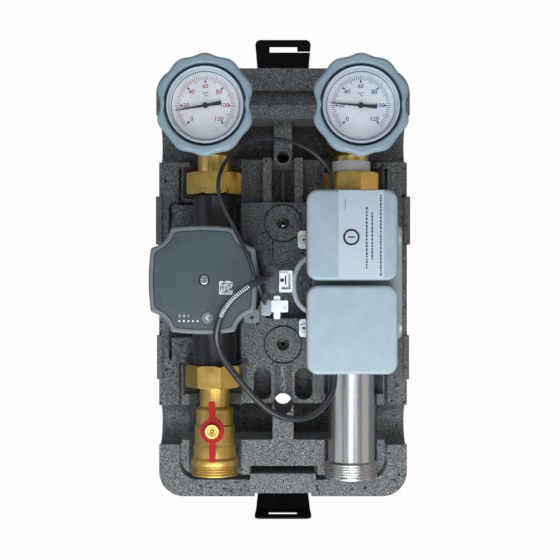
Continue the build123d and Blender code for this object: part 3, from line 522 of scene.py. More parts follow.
def build_finishes():
    tint = tints()
    foam_finish()
    brass_finish("turned brass", cast=False)
    brass_finish("cast brass", cast=True)
    zinc_finish("zinc tube", 0.24, 60 * MM)
    zinc_finish("zinc sheet", 0.30, 12 * MM)
    iron_finish()
    metal_finish("chrome", (0.80, 0.81, 0.83, 1), 0.10, 0.02)
    metal_finish("motor casting", (0.085, 0.088, 0.092, 1), 0.48, 0.4, 0.8 * MM)
    metal_finish("ground steel", (0.50, 0.51, 0.52, 1), 0.30)
    metal_finish("copper winding", (0.62, 0.26, 0.10, 1), 0.35, 0.4, 0.6 * MM)
    lacquer_finish()
    glass_finish()
    # Name, colour, roughness, grain in millimetres, relief, wear and dust; some add a specular
    # level, and a coat.
    plastics = (
        ("strap plastic", (0.0030, 0.0030, 0.0035, 1), 0.50, 0.4, 0.10, 0.08, 0.01, 0.08),
        ("grip plastic", tint.grip, 0.34, 0.3, 0.06, 0.30, 0.06, 0.5, 0.12),
        ("gauge plastic", tint.gauge, 0.48, 0.3, 0.03, 0.15, 0.05, 0.35),
        ("dial face", (0.75, 0.80, 0.845, 1), 0.45, 0.2, 0.03, 0.0, 0.0),
        ("head plastic", tint.head, 0.36, 0.35, 0.12, 0.25, 0.08),
        ("face film", tint.face, 0.30, 0.25, 0.06, 0.05, 0.04, 0.45),
        ("button plastic", (0.14, 0.17, 0.19, 1), 0.35, 0.3, 0.06, 0.3, 0.0),
        ("box plastic", tint.boxes, 0.40, 0.45, 0.10, 0.18, 0.10),
        ("plate plastic", tint.plate, 0.45, 0.45, 0.12, 0.2, 0.12),
        ("plug plastic", (0.060, 0.070, 0.085, 1), 0.40, 0.4, 0.12, 0.3, 0.08),
        ("clear grey plastic", (0.30, 0.36, 0.40, 1), 0.22, 0.4, 0.04, 0.3, 0.0),
        ("white nylon", (0.72, 0.76, 0.78, 1), 0.35, 0.3, 0.05, 0.1, 0.05),
        ("band plastic", (0.50, 0.54, 0.56, 1), 0.38, 0.3, 0.05, 0.2, 0.05),
        ("seat plastic", (0.80, 0.80, 0.77, 1), 0.35, 0.4, 0.05, 0.1, 0.0),
        ("gasket fibre", (0.06, 0.20, 0.16, 1), 0.70, 0.3, 0.20, 0.1, 0.0),
        ("board laminate", (0.02, 0.16, 0.06, 1), 0.35, 0.3, 0.05, 0.1, 0.0),
        ("terminal plastic", (0.50, 0.50, 0.46, 1), 0.42, 0.4, 0.08, 0.1, 0.0),
        ("bearing carbon", (0.03, 0.03, 0.03, 1), 0.30, 0.4, 0.05, 0.1, 0.0),
        ("impeller plastic", (0.07, 0.07, 0.07, 1), 0.42, 0.4, 0.08, 0.1, 0.0),
        ("shaft ceramic", (0.75, 0.74, 0.70, 1), 0.22, 0.4, 0.03, 0.0, 0.0),
    )
    for plastic in plastics:
        plastic_finish(*plastic)
    lead_finish("black jacket", tint.leads)
    lead_finish("grey jacket", tint.jumper)
    print_finish("black ink", (0.008, 0.008, 0.010, 1), 0.65)
    print_finish("red ink", tint.supply)
    print_finish("blue ink", tint.back)
    print_finish("white ink", (0.70, 0.73, 0.75, 1))
    # Grey ink serves as print on the dials and as painted shade for the dial rims and the bracket
    # screws.
    print_finish("grey ink and painted shade", (0.10, 0.12, 0.14, 1))
    print_finish("brown ink", (0.10, 0.055, 0.010, 1))
    paper_finish()


# ---- mesh helpers --------------------------------------------------------------------------------
def put(name, data):
    """A new object in the scene."""
    piece = bpy.data.objects.new(name, data)
    bpy.context.scene.collection.objects.link(piece)
    return piece


def mesh_of(piece):
    """The mesh that a curve or a text comes out as."""
    bpy.context.view_layer.update()
    return bpy.data.meshes.new_from_object(
        piece.evaluated_get(bpy.context.evaluated_depsgraph_get()))


def add_mesh(name, points, faces, finish, body, sharp=35.0):
    """A mesh piece in metres that rides on a body."""
    mesh = bpy.data.meshes.new(name)
    mesh.from_pydata([tuple(point) for point in points], [], faces)
    mesh.validate()
    work = bmesh.new()
    work.from_mesh(mesh)
    bmesh.ops.recalc_face_normals(work, faces=work.faces)
    work.to_mesh(mesh)
    work.free()
    mesh.shade_smooth()
    mesh.set_sharp_from_angle(angle=math.radians(sharp))
    mesh.materials.append(FINISHES[finish])
    piece = put(name, mesh)
    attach(piece, body)
    return piece


def ring_of_sections(sections):
    """Points and faces of closed sections joined round into a ring."""
    count, around = len(sections[0]), len(sections)
    points = [point for section in sections for point in section]
    faces = []
    for i in range(around):
        j = (i + 1) % around
        for k in range(count):
            m = (k + 1) % count
            faces.append((i * count + k, i * count + m, j * count + m, j * count + k))
    return points, faces


def prisms(outlines, near, far):
    """Closed prisms from outlines of (x, z) in metres, between two y values."""
    points, faces = [], []
    for outline in outlines:
        start, count = len(points), len(outline)
        points += [(x, near, z) for x, z in outline] + [(x, far, z) for x, z in outline]
        faces.append(tuple(range(start, start + count)))
        faces.append(tuple(range(start + 2 * count - 1, start + count - 1, -1)))
        for i in range(count):
            j = (i + 1) % count
            faces.append((start + i, start + j, start + count + j, start + count + i))
    return points, faces


def printed(name, outlines, surface, finish, body):
    """Thin printed marks on a face that looks out at y = surface."""
    points, faces = prisms(outlines, surface, surface - sizes().print_height)
    piece = add_mesh(name, points, faces, finish, body)
    return piece


def rectangle(x, z, width, height):
    return [(x - width / 2, z - height / 2), (x + width / 2, z - height / 2),
            (x + width / 2, z + height / 2), (x - width / 2, z + height / 2)]


def spoke(x, z, angle, inner, outer, width):
    """A radial bar as an outline; angle in degrees from +X towards +Z."""
    a = math.radians(angle)
    along, side = Vector((math.cos(a), math.sin(a))), Vector((-math.sin(a), math.cos(a)))
    centre = Vector((x, z))
    corners = [centre + along * inner - side * width / 2, centre + along * outer - side * width / 2,
               centre + along * outer + side * width / 2, centre + along * inner + side * width / 2]
    return [(corner.x, corner.y) for corner in corners]


def ring_outlines(x, z, inner, outer, start=0.0, end=360.0, step=6.0):
    """A flat ring or arc as a row of four-sided outlines."""
    pieces = max(1, round((end - start) / step))
    outlines = []
    for i in range(pieces):
        a = math.radians(start + (end - start) * i / pieces)
        b = math.radians(start + (end - start) * (i + 1) / pieces)
        outlines.append([(x + inner * math.cos(a), z + inner * math.sin(a)),
                         (x + outer * math.cos(a), z + outer * math.sin(a)),
                         (x + outer * math.cos(b), z + outer * math.sin(b)),
                         (x + inner * math.cos(b), z + inner * math.sin(b))])
    return outlines


def dress(node, finish, edge=0.0):
    """Give a CAD piece its finish and, where edge is set, rounded edges."""
    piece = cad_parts[node]
    piece.data.materials.clear()
    piece.data.materials.append(FINISHES[finish])
    if edge > 0:
        weld = piece.modifiers.new("Weld", "WELD")
        weld.merge_threshold = 0.002 * MM
        bevel = piece.modifiers.new("Rounded edges", "BEVEL")
        bevel.width = edge
        bevel.segments = 2
        bevel.limit_method = "ANGLE"
        bevel.angle_limit = math.radians(32.0)
        bevel.harden_normals = True
        bevel.use_clamp_overlap = True
        bevel.miter_outer = "MITER_ARC"


def front_of(node):
    """Middle x and z of a CAD piece, and the y of its front face."""
    low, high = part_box(node)
    return (low.x + high.x) / 2, (low.z + high.z) / 2, low.y


# ---- pieces --------------------------------------------------------------------------------------
def finish_shell():
    dress("epp_back_shell", "bead foam", sizes().foam_edge)
    dress("cover_strap_top", "strap plastic", sizes().plastic_edge)
    dress("cover_strap_bottom", "strap plastic", sizes().plastic_edge)


def wave(side, start, end):
    """Dip between two lobes of a hand ring, in millimetres."""
    return 0.85 * (1 - math.cos(2 * math.pi * (side - start) / (end - start)))


def grip_rim(angle):
    """Outline radius of a hand ring in millimetres: side hollows, five soft lobes above and below."""
    side = abs((angle + 90) % 180 - 90)
    if side < 22:
        return 35.5 + 4.9 * (1 - math.cos(math.pi * side / 22)) / 2
    if side < 60:
        return 40.9 - 0.5 * math.cos(math.pi * (side - 22) / 38) - wave(side, 22, 60)
    return 41.4 + 0.2 * (side - 60) / 30 - wave(side, 60, 90)


def grip_section(rim):
    """Closed cross-section of a hand ring as (radius, depth in front of the wall)."""
    return [(3.35, 219.0), (32.9, 219.0), (33.0, 220.0), (33.0, 233.6), (33.3, 234.9),
            (34.2, 235.8), (35.0, 236.0), (rim - 3.4, 236.0), (rim - 2.2, 235.7),
            (rim - 1.1, 234.9), (rim - 0.4, 233.8), (rim, 232.0), (rim, 231.0),
            (rim - 0.9, 222.4), (rim - 1.1, 220.4), (rim - 1.9, 218.2), (rim - 3.1, 216.8),
            (rim - 4.6, 216.1), (rim - 6.0, 216.0), (19.0, 216.0), (17.6, 215.2), (16.8, 213.5),
            (14.1, 162.0), (13.4, 156.0), (12.4, 152.6), (11.0, 152.0), (5.2, 152.0),
            (5.2, 209.5), (3.35, 210.0)]


def make_grip(circuit):
    """A hand ring, its rim following the scalloped outline."""
    x, z, _ = front_of(f"{circuit}_window")
    sections = []
    for step in range(180):
        angle = 2.0 * step
        a = math.radians(angle)
        section = []
        for radius, depth in grip_section(grip_rim(angle)):
            section.append((x + radius * MM * math.cos(a), -depth * MM,
                            z + radius * MM * math.sin(a)))
        sections.append(section)
    points, faces = ring_of_sections(sections)
    piece = add_mesh(f"{circuit}_hand_ring", points, faces, "grip plastic",
                     f"{circuit}_handle", 28.0)
    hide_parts(f"{circuit}_grip_ring")


def dial_angle(temperature):
    return 225.0 - 270.0 * temperature / 120.0


def make_dial_print(circuit, ink):
    """Ticks, numbers and unit of one thermometer, and a grey ring at the dial's edge as painted
    shadow.
    """
    x, z, face = front_of(f"{circuit}_dial")
    body = f"{circuit}_handle"
    fine, bold = [], []
    for degree in range(0, 121, 2):
        angle = dial_angle(degree)
        fine.append(spoke(x, z, angle, 20.5 * MM, (23.6 if degree % 10 else 24.4) * MM,
                          0.45 * MM))
    for degree in range(0, 121, 10):
        long = degree % 20 == 0
        bold.append(spoke(x, z, dial_angle(degree), (18.2 if long else 19.2) * MM, 20.3 * MM,
                          (1.2 if long else 0.6) * MM))
    printed(f"{circuit}_scale_ticks", fine, face, f"{ink} ink", body)
    printed(f"{circuit}_scale_marks", bold, face, "black ink", body)
    # Thin grey ring just inside the case's lip: painted shadow that the case's inner wall casts on
    # the dial.
    rim = ring_outlines(x, z, 27.1 * MM, 27.7 * MM, step=3.0)
    printed(f"{circuit}_dial_rim_painted_shadow", rim, face, "grey ink and painted shade", body)
    for degree in range(0, 121, 20):
        a = math.radians(dial_angle(degree))
        add_text(f"{circuit}_number_{degree}", str(degree), sizes().number_height,
                 (x + 15.4 * MM * math.cos(a), face, z + 15.4 * MM * math.sin(a)),
                 f"{ink} ink", body)
    add_text(f"{circuit}_unit", "°C", 3.3 * MM, (x, face, z + 8.8 * MM), "grey ink and painted shade", body)


def add_text(name, text, height, place, finish, body):
    """Centred lettering that faces the front, as a thin mesh."""
    curve = bpy.data.curves.new(name, "FONT")
    curve.body = text
    curve.align_x = "CENTER"
    curve.align_y = "CENTER"
    curve.size = height * 1.42
    curve.extrude = sizes().print_height / 2
    curve.offset = 0.07 * MM
    curve.resolution_u = 3
    maker = put(name + "_maker", curve)
    maker.rotation_euler = (math.pi / 2, 0, 0)
    maker.location = (place[0], place[1] - sizes().print_height / 2, place[2])
    mesh = mesh_of(maker)
    mesh.transform(maker.matrix_world)
    bpy.data.objects.remove(maker)
    mesh.materials.clear()
    mesh.materials.append(FINISHES[finish])
    piece = put(name, mesh)
    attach(piece, body)


def finish_thermometers():
    for circuit, ink in (("supply", "red"), ("return", "blue")):
        make_grip(circuit)
        dress(f"{circuit}_thermometer_case", "gauge plastic", 0.3 * MM)
        dress(f"{circuit}_dial", "dial face")
        dress(f"{circuit}_window", "dial window", 0.25 * MM)
        dress(f"{circuit}_pointer", "black ink", 0.12 * MM)
        make_dial_print(circuit, ink)


def squash_spring():
    """Give the gravity brake's spring its own copy of its mesh."""
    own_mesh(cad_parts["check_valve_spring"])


def finish_valves():
    for circuit in ("supply", "return"):
        dress(f"{circuit}_valve_body", "turned brass", sizes().metal_edge)
        dress(f"{circuit}_valve_ball", "chrome")
        dress(f"{circuit}_valve_stem", "turned brass")
    dress("union_nuts", "turned brass", sizes().metal_edge)
    dress("union_gaskets", "gasket fibre")
    dress("valve_seats", "seat plastic")
    dress("check_valve_cage", "seat plastic")
    dress("check_valve_disc", "seat plastic")
    dress("check_valve_spring", "ground steel")
    squash_spring()
    dress("shutoff_body", "cast brass", sizes().metal_edge)
    dress("shutoff_ball", "chrome")
    dress("shutoff_stem", "turned brass", 0.2 * MM)
    dress("shutoff_handle", "red coating", 0.6 * MM)
    dress("shutoff_nut", "turned brass", 0.25 * MM)
    dress("return_pipe", "zinc tube", 0.2 * MM)
    dress("marking_band", "band plastic", 0.4 * MM)


def finish_pump():
    dress("pump_housing", "painted iron", 0.6 * MM)
    dress("impeller", "impeller plastic")
    dress("pump_shaft", "shaft ceramic")
    dress("pump_rotor", "ground steel")
    dress("shaft_bearings", "bearing carbon")
    dress("rotor_can", "ground steel")
    dress("stator", "copper winding")
    dress("motor_housing", "motor casting", 0.4 * MM)
    dress("motor_screws", "painted iron", 0.2 * MM)
    dress("control_box", "head plastic", 0.4 * MM)
    dress("control_faceplate", "face film", 0.2 * MM)
    dress("control_button", "button plastic", 0.2 * MM)
    dress("vent_screw", "chrome", 0.2 * MM)
    dress("circuit_board", "board laminate")


def make_hub_print():
    """The dark stem end and joint line that show in the lever's round nut."""
    x, z, face = front_of("shutoff_nut")
    marks = ring_outlines(x, z, 3.6 * MM, 4.2 * MM, step=15.0)
    marks += ring_outlines(x, z, 1.0 * MM, 2.0 * MM, step=30.0)
    printed("hub_marks", marks, face, "brown ink", "shutoff_lever")


def make_face_gap():
    """A dark joint line round the dark film, just outside the film's own outline."""
    gap = 0.85 * MM
    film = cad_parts["control_faceplate"]
    x, z, face_y = front_of("control_faceplate")
    work = bmesh.new()
    work.from_mesh(film.data)
    work.transform(film.matrix_world)
    front = {face for face in work.faces
             if face.normal.y < -0.9 and face.calc_center_median().y < face_y + 0.3 * MM}
    outlines = []
    for edge in work.edges:
        beside = [face for face in edge.link_faces if face in front]
        a, b = edge.verts[0].co, edge.verts[1].co
        if len(beside) != 1 or abs(a.x - x) + abs(a.z - z) < 24 * MM:
            continue
        side = Vector((b.z - a.z, 0, a.x - b.x)).normalized() * gap
        if side.dot((a + b) / 2 - beside[0].calc_center_median()) < 0:
            side = -side
        outlines.append([(a.x, a.z), (b.x, b.z), (b.x + side.x, b.z + side.z),
                         (a.x + side.x, a.z + side.z)])
    work.free()
    printed("face_gap", outlines, front_of("control_box")[2], "black ink", "station")


def make_face_print():
    """Status lights, mode marks, a pattern of dots and the button's arrow on the pump face."""
    x, z, face = front_of("control_faceplate")
    lights = [rectangle(x + (-19.3 + 3.75 * i) * MM, z - 34.0 * MM, 1.5 * MM, 1.5 * MM)
              for i in range(5)]
    printed("status_lights", lights, face, "white ink", "station")
    marks = []
    for i, height in enumerate((2.2, 2.2, 1.6)):
        for j in range(2):
            marks.append(rectangle(x + (-19.5 + 3.6 * i + 0.9 * j) * MM, z - 29.6 * MM, 0.35 * MM,
                                   height * MM))
    printed("mode_marks", marks, face, "white ink", "station")
    cells = []
    chooser = random.Random(7)
    pitch = 0.86 * MM
    for row in range(13):
        for column in range(13):
            rim = row == 0 or column == 0
            if rim or chooser.random() < 0.5:
                cells.append(rectangle(x + 14.0 * MM + column * pitch, z - 11.6 * MM + row * pitch,
                                       pitch * 0.96, pitch * 0.96))
    printed("dot_pattern", cells, face, "white ink", "station")
    bx, bz, button_face = front_of("control_button")
    stroke = []
    for way in (-1, 1):
        tip, tail = Vector((bx - 1.5 * MM, bz)), Vector((bx + 0.9 * MM, bz + way * 2.1 * MM))
        along = (tail - tip).normalized()
        side = Vector((-along.y, along.x)) * 0.5 * MM
        stroke.append([tuple(tip - side), tuple(tail - side), tuple(tail + side),
                       tuple(tip + side)])
    printed("button_arrow", stroke, button_face, "white ink", "mode_button")


def finish_boxes():
    dress("mounting_plate", "plate plastic", 0.4 * MM)
    dress("pipe_brackets", "zinc sheet", 0.3 * MM)
    dress("bracket_screws", "zinc sheet", 0.2 * MM)
    dress("box_bases", "box plastic", 0.3 * MM)
    dress("upper_box_cover", "box plastic", 0.4 * MM)
    dress("lower_box_cover", "box plastic", 0.4 * MM)
    dress("terminal_blocks", "terminal plastic", 0.2 * MM)


def make_screw_recesses():
    """Painted shade for the two bracket screws beside the boxes: a ring round each head, a cross."""
    low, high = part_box("bracket_screws")
    screw_face = -126.6 * MM
    size = 3.9 * MM
    x = low.x + size
    outlines = []
    # Each screw gets a grey ring and a grey cross: painted shade of the gap round its head and of its
    # drive recess.
    for z in (low.z + size, high.z - size):
        outlines += ring_outlines(x, z, 3.45 * MM, 3.85 * MM, step=10.0)
        outlines.append(rectangle(x, z, 3.0 * MM, 1.0 * MM))
        outlines.append(rectangle(x, z, 1.0 * MM, 3.0 * MM))
    printed("screw_painted_shade", outlines, screw_face, "grey ink and painted shade", "station")


def make_label():
    """A plain film label on the upper cover, with grey lines and a ring instead of words."""
    low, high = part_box("upper_box_cover")
    left, right = low.x + 27.6 * MM, low.x + 66.8 * MM
    face = low.y
    bottom, top = low.z + 0.9 * MM, high.z - 0.9 * MM
    x, z = (left + right) / 2, (low.z + high.z) / 2
    sheet_outline = [rectangle(x, (bottom + top) / 2, right - left, top - bottom)]
    points, faces = prisms(sheet_outline, face + 0.02 * MM, face - 0.10 * MM)
    piece = add_mesh("cover_label", points, faces, "label film", "upper_cover")
    lines = []
    chooser = random.Random(3)
    for column, start, end in ((0.62, 0.12, 0.80), (0.74, 0.22, 0.74), (0.93, 0.04, 0.94)):
        at = left + (right - left) * column
        z0 = bottom + (top - bottom) * start
        while z0 < bottom + (top - bottom) * end:
            run = chooser.uniform(1.0, 2.8) * MM
            lines.append(rectangle(at, z0 + run / 2, 1.3 * MM, run))
            z0 += run + chooser.uniform(0.5, 1.1) * MM
    lines.append(rectangle(left + 5.6 * MM, top - 12.0 * MM, 0.5 * MM, 9.0 * MM))
    surface = face - 0.10 * MM
    printed("label_lines", lines, surface, "black ink", "upper_cover")
    mark = ring_outlines(left + 11.0 * MM, z - 2.0 * MM, 5.4 * MM, 7.2 * MM)
    mark.append(rectangle(left + 11.0 * MM, z - 2.0 * MM, 6.0 * MM, 1.3 * MM))
    printed("label_mark", mark, surface, "black ink", "upper_cover")


def finish_plugs():
    dress("power_plug", "plug plastic", 0.4 * MM)
    dress("power_plug_lock", "white nylon", 0.3 * MM)
    dress("signal_plug_housing", "clear grey plastic", 0.3 * MM)
    dress("signal_plug_latch", "white nylon", 0.3 * MM)
    low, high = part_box("power_plug_lock")
    outlines = [rectangle(low.x + 2.6 * MM, low.z + 10.4 * MM, 3.2 * MM, 2.8 * MM),
                rectangle(low.x + 5.6 * MM, low.z + 10.4 * MM, 1.2 * MM, 7.4 * MM)]
    printed("lock_marks", outlines, low.y, "black ink", "station")


# Routes of the three leads in metres; the same points as the solids they stand for.
signal_route = [
    (0.0440, -0.1328, 0.0826), (0.0440, -0.1328, 0.0915), (0.0405, -0.1365, 0.1015),
    (0.0325, -0.1425, 0.1108), (0.0215, -0.1490, 0.1183), (0.0085, -0.1560, 0.1232),
    (-0.0060, -0.1630, 0.1252), (-0.0205, -0.1700, 0.1242), (-0.0335, -0.1770, 0.1188),
    (-0.0440, -0.1840, 0.1096), (-0.0508, -0.1905, 0.0982), (-0.0543, -0.1955, 0.0860),
    (-0.0532, -0.1995, 0.0740), (-0.0487, -0.2030, 0.0625), (-0.0426, -0.2056, 0.0510),
    (-0.0360, -0.2068, 0.0385), (-0.0298, -0.2069, 0.0255), (-0.0248, -0.2065, 0.0125),
    (-0.0209, -0.2034, 0.0004), (-0.0176, -0.1960, -0.0094), (-0.0150, -0.1850, -0.0164),
    (-0.0150, -0.1720, -0.0164)]

power_route = [
    (-0.0115, -0.1840, 0.0050), (-0.0115, -0.1955, 0.0050), (-0.0145, -0.2065, 0.0044),
    (-0.0220, -0.2146, 0.0016), (-0.0325, -0.2164, -0.0046), (-0.0425, -0.2150, -0.0128),
    (-0.0500, -0.2124, -0.0230), (-0.0544, -0.2090, -0.0348), (-0.0550, -0.2040, -0.0470),
    (-0.0518, -0.1965, -0.0584), (-0.0455, -0.1880, -0.0694), (-0.0375, -0.1790, -0.0806),
    (-0.0285, -0.1710, -0.0926), (-0.0175, -0.1635, -0.1046), (-0.0050, -0.1570, -0.1138),
    (0.0090, -0.1510, -0.1182), (0.0220, -0.1455, -0.1170), (0.0330, -0.1400, -0.1106),
    (0.0410, -0.1350, -0.1014), (0.0455, -0.1312, -0.0910), (0.0455, -0.1312, -0.0790)]

jumper_route = [
    (0.0355, -0.1180, 0.0254), (0.0240, -0.1180, 0.0254), (0.0126, -0.1182, 0.0162),
    (0.0086, -0.1184, -0.0006), (0.0126, -0.1182, -0.0174), (0.0240, -0.1180, -0.0266),
    (0.0355, -0.1180, -0.0266)]


def lead_curve(name, route, diameter, finish):
    """A round lead whose route points are the control points of one smooth spline."""
    curve = bpy.data.curves.new(name, "CURVE")
    curve.dimensions = "3D"
    spline = curve.splines.new("NURBS")
    spline.points.add(len(route) - 1)
    for point, place in zip(spline.points, route):
        point.co = (*place, 1.0)
    spline.order_u = 3
    spline.use_endpoint_u = True
    curve.resolution_u = 10
    curve.bevel_depth = diameter / 2
    curve.bevel_resolution = 6
    curve.use_fill_caps = True
    curve.materials.append(FINISHES[finish])
    return put(name, curve)


def centre_line(lead):
    """Points along a lead's own spline, read from a bare copy without its thickness."""
    curve = lead.data.copy()
    curve.bevel_depth = 0.0
    curve.use_fill_caps = False
    bare = put("bare_line", curve)
    mesh = mesh_of(bare)
    points = [vertex.co.copy() for vertex in mesh.vertices]
    bpy.data.meshes.remove(mesh)
    bpy.data.objects.remove(bare)
    bpy.data.curves.remove(curve)
    return points


def make_leads():
    size = sizes()
    leads = (("signal", signal_route, size.signal_diameter, 0.288, "black jacket", "medium"),
             ("power", power_route, size.power_diameter, 0.275, "black jacket", "stiff"),
             ("jumper", jumper_route, size.jumper_diameter, 0.085, "grey jacket", "stiff"))
    for name, route, diameter, span, finish, stiffness in leads:
        lead = lead_curve(f"{name}_lead", route, diameter, finish)
        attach(lead, "station")
        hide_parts(f"{name}_cable")
        marks = [make_metre_marks(centre_line(lead), diameter)] if name == "power" else []


def make_metre_marks(line, diameter):
    """Short white dashes printed across the power lead, on the stretch over the pump."""
    lengths = [0.0]
    for before, after in zip(line, line[1:]):
        lengths.append(lengths[-1] + (after - before).length)
    points, faces = [], []
    radius = diameter / 2 + 0.03 * MM
    place = 41.0 * MM
    while place < 76.0 * MM:
        i = next(k for k, run in enumerate(lengths) if run > place) - 1
        share = (place - lengths[i]) / (lengths[i + 1] - lengths[i])
        centre = line[i].lerp(line[i + 1], share)
        along = (line[i + 1] - line[i]).normalized()
        out = Vector((0.25, -1.0, 0.25))
        out = (out - along * out.dot(along)).normalized()
        side = along.cross(out)
        start = len(points)
        spread = [-0.62, -0.4, -0.2, 0.0, 0.2, 0.4, 0.62]
        for layer in (radius - 0.06 * MM, radius):
            for end in (-0.35 * MM, 0.35 * MM):
                for a in spread:
                    points.append(centre + along * end + (out * math.cos(a)
                                                          + side * math.sin(a)) * layer)
        count = len(spread)
        rows = [start, start + count, start + 3 * count, start + 2 * count]
        for first, second in zip(rows, rows[1:] + rows[:1]):
            for k in range(count - 1):
                faces.append((first + k, first + k + 1, second + k + 1, second + k))
        faces.append((rows[0], rows[1], rows[2], rows[3]))
        faces.append(tuple(row + count - 1 for row in reversed(rows)))
        place += 1.75 * MM
    piece = add_mesh("lead_marks", points, faces, "white ink", "station")
    return piece


# ---- studio ----------------------------------------------------------------------------------------
def stage_finish(name, tint):
    """A pale surface that the camera sees almost white, with faint contact shadows."""
    material = bpy.data.materials.new(name)
    material.use_nodes = True
    sheet = Sheet(material.node_tree)
    shader = material.node_tree.nodes["Principled BSDF"]
    shader.inputs["Base Color"].default_value = tint
    shader.inputs["Roughness"].default_value = 0.85
    glow = sheet.add("ShaderNodeEmission", {"Color": (1, 1, 1, 1), "Strength": 1.0})
    seen = sheet.add("ShaderNodeLightPath").outputs["Is Camera Ray"]
    share = sheet.math("MULTIPLY", seen, 0.975)
    both = sheet.add("ShaderNodeMixShader", {0: share, 1: shader.outputs[0], 2: glow.outputs[0]})
    output = material.node_tree.nodes["Material Output"]
    material.node_tree.links.new(both.outputs[0], output.inputs["Surface"])
    return material


def softbox(name, place, target, width, height, power, tint=(1, 1, 1)):
    lamp = bpy.data.lights.new(name, "AREA")
    lamp.shape = "RECTANGLE"
    lamp.size = width
    lamp.size_y = height
    lamp.energy = power
    lamp.color = tint
    light = put(name, lamp)
    light.location = place
    direction = Vector(target) - Vector(place)
    light.rotation_euler = direction.to_track_quat("-Z", "Y").to_euler()


def make_studio():
    scene = bpy.context.scene
    studio = scene.pump_group_studio
    world = bpy.data.worlds.new("studio")
    scene.world = world
    world.use_nodes = True
    sheet = Sheet(world.node_tree)
    backdrop = world.node_tree.nodes["Background"]
    backdrop.inputs["Color"].default_value = (0.988, 0.988, 0.988, 1)
    backdrop.inputs["Strength"].default_value = 1.0
    fill = sheet.add("ShaderNodeBackground", {"Color": (0.80, 0.88, 1.0, 1), "Strength": 0.26})
    seen = sheet.add("ShaderNodeLightPath").outputs["Is Camera Ray"]
    both = sheet.add("ShaderNodeMixShader", {0: seen, 1: fill.outputs[0],
                                             2: backdrop.outputs[0]})
    world.node_tree.links.new(both.outputs[0],
                              world.node_tree.nodes["World Output"].inputs["Surface"])

    floor_z = cad_low.z - studio.hanging_height
    mesh = bpy.data.meshes.new("floor")
    reach = 6.0
    mesh.from_pydata([(-reach, -reach, floor_z), (reach, -reach, floor_z), (reach, reach, floor_z),
                      (-reach, reach, floor_z)], [], [(0, 1, 2, 3)])
    mesh.materials.append(stage_finish("pale floor", (0.88, 0.89, 0.90, 1)))
    put("floor", mesh)

    target = (0, -0.1, 0)
    softbox("front panel", (0.0, -1.26, -0.42), target, 0.72, 0.72, studio.key_power)
    softbox("low box", (0.0, -0.52, -0.44), (0, -0.02, -0.16), 0.62, 0.22, studio.low_power,
            (0.92, 0.97, 1.0))
    softbox("left bank", (-1.30, -0.60, 0.20), target, 0.9, 1.2, 2.2, (0.86, 0.93, 1.0))
    softbox("right bank", (1.35, -0.60, 0.10), target, 0.9, 1.2, 1.8, (1.0, 0.78, 0.56))
    softbox("top fill", (0.0, -1.15, 0.75), target, 1.2, 0.5, 3.2)

    lens = bpy.data.cameras.new("camera")
    lens.lens = studio.lens
    lens.sensor_width = 36.0
    lens.shift_x = -0.0054
    lens.clip_start = 0.01
    lens.clip_end = 50.0
    camera = put("camera", lens)
    camera.location = (0.0, -studio.camera_distance, studio.camera_height)
    camera.rotation_euler = (math.pi / 2, 0, 0)
    scene.camera = camera
    scene.view_settings.view_transform = "Standard"
    scene.view_settings.look = "None"


# ---- operators -------------------------------------------------------------------------------------
class PUMPGROUP_OT_finishes(bpy.types.Operator):
    """Build the shared node groups and every finish"""

    bl_idname = "pump_group.finishes"
    bl_label = "Finishes"

    def execute(self, context):
        build_groups()
        build_finishes()
        return {"FINISHED"}


class PUMPGROUP_OT_shell(bpy.types.Operator):
    """Dress the foam shell and its straps"""

    bl_idname = "pump_group.shell"
    bl_label = "Foam shell"

    def execute(self, context):
        finish_shell()
        return {"FINISHED"}


class PUMPGROUP_OT_thermometers(bpy.types.Operator):
    """Make the hand rings and the printed dials"""

    bl_idname = "pump_group.thermometers"
    bl_label = "Thermometers"

    def execute(self, context):
        finish_thermometers()
        return {"FINISHED"}


class PUMPGROUP_OT_valves(bpy.types.Operator):
    """Dress the valves, unions and return pipe, and mark the lever's hub"""

    bl_idname = "pump_group.valves"
    bl_label = "Valves and pipes"

    def execute(self, context):
        finish_valves()
        make_hub_print()
        return {"FINISHED"}


class PUMPGROUP_OT_pump(bpy.types.Operator):
    """Dress the circulator and print its face"""

    bl_idname = "pump_group.pump"
    bl_label = "Circulator"

    def execute(self, context):
        finish_pump()
        make_face_gap()
        make_face_print()
        return {"FINISHED"}


class PUMPGROUP_OT_boxes(bpy.types.Operator):
    """Dress the wiring boxes, paint shade for the bracket screws and make the label"""

    bl_idname = "pump_group.boxes"
    bl_label = "Wiring boxes"

    def execute(self, context):
        finish_boxes()
        make_screw_recesses()
        make_label()
        return {"FINISHED"}


class PUMPGROUP_OT_plugs(bpy.types.Operator):
    """Dress the two plugs and mark the lock"""

    bl_idname = "pump_group.plugs"
    bl_label = "Plugs"

    def execute(self, context):
        finish_plugs()
        return {"FINISHED"}


class PUMPGROUP_OT_leads(bpy.types.Operator):
    """Lay the signal, power and jumper leads"""

    bl_idname = "pump_group.leads"
    bl_label = "Leads"

    def execute(self, context):
        make_leads()
        return {"FINISHED"}


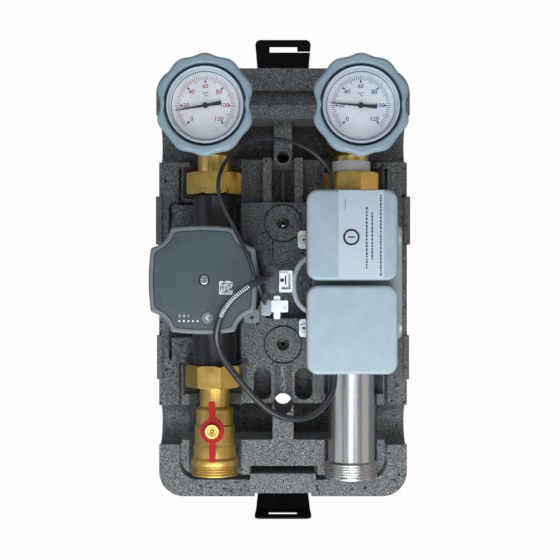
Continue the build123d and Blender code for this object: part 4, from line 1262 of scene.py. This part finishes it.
class PUMPGROUP_OT_studio(bpy.types.Operator):
    """Set the floor, lights and camera"""

    bl_idname = "pump_group.studio"
    bl_label = "Studio"

    def execute(self, context):
        make_studio()
        return {"FINISHED"}


OPERATORS = (PUMPGROUP_OT_finishes, PUMPGROUP_OT_shell, PUMPGROUP_OT_thermometers,
             PUMPGROUP_OT_valves, PUMPGROUP_OT_pump, PUMPGROUP_OT_boxes, PUMPGROUP_OT_plugs,
             PUMPGROUP_OT_leads, PUMPGROUP_OT_studio)


class PUMPGROUP_PT_sidebar(bpy.types.Panel):
    """Lists the steps and the settings"""

    bl_idname = "PUMPGROUP_PT_sidebar"
    bl_label = "Pump group"
    bl_space_type = "VIEW_3D"
    bl_region_type = "UI"
    bl_category = "Pump group"

    def draw(self, context):
        column = self.layout.column()
        for operator in OPERATORS:
            column.operator(operator.bl_idname)
        for settings in (context.scene.pump_group_sizes, context.scene.pump_group_colours,
                         context.scene.pump_group_studio):
            for name in settings.__annotations__:
                column.prop(settings, name)


CLASSES = (PumpGroupSizes, PumpGroupColours, PumpGroupStudio) + OPERATORS + (PUMPGROUP_PT_sidebar,)


def register():
    for item in CLASSES:
        bpy.utils.register_class(item)
    bpy.types.Scene.pump_group_sizes = bpy.props.PointerProperty(type=PumpGroupSizes)
    bpy.types.Scene.pump_group_colours = bpy.props.PointerProperty(type=PumpGroupColours)
    bpy.types.Scene.pump_group_studio = bpy.props.PointerProperty(type=PumpGroupStudio)


def unregister():
    del bpy.types.Scene.pump_group_studio
    del bpy.types.Scene.pump_group_colours
    del bpy.types.Scene.pump_group_sizes
    for item in reversed(CLASSES):
        bpy.utils.unregister_class(item)


def main():
    register()
    bpy.ops.pump_group.studio()
    bpy.ops.pump_group.finishes()
    bpy.ops.pump_group.leads()
    bpy.ops.pump_group.shell()
    bpy.ops.pump_group.thermometers()
    bpy.ops.pump_group.valves()
    bpy.ops.pump_group.pump()
    bpy.ops.pump_group.boxes()
    bpy.ops.pump_group.plugs()


if __name__ == "__main__":
    main()
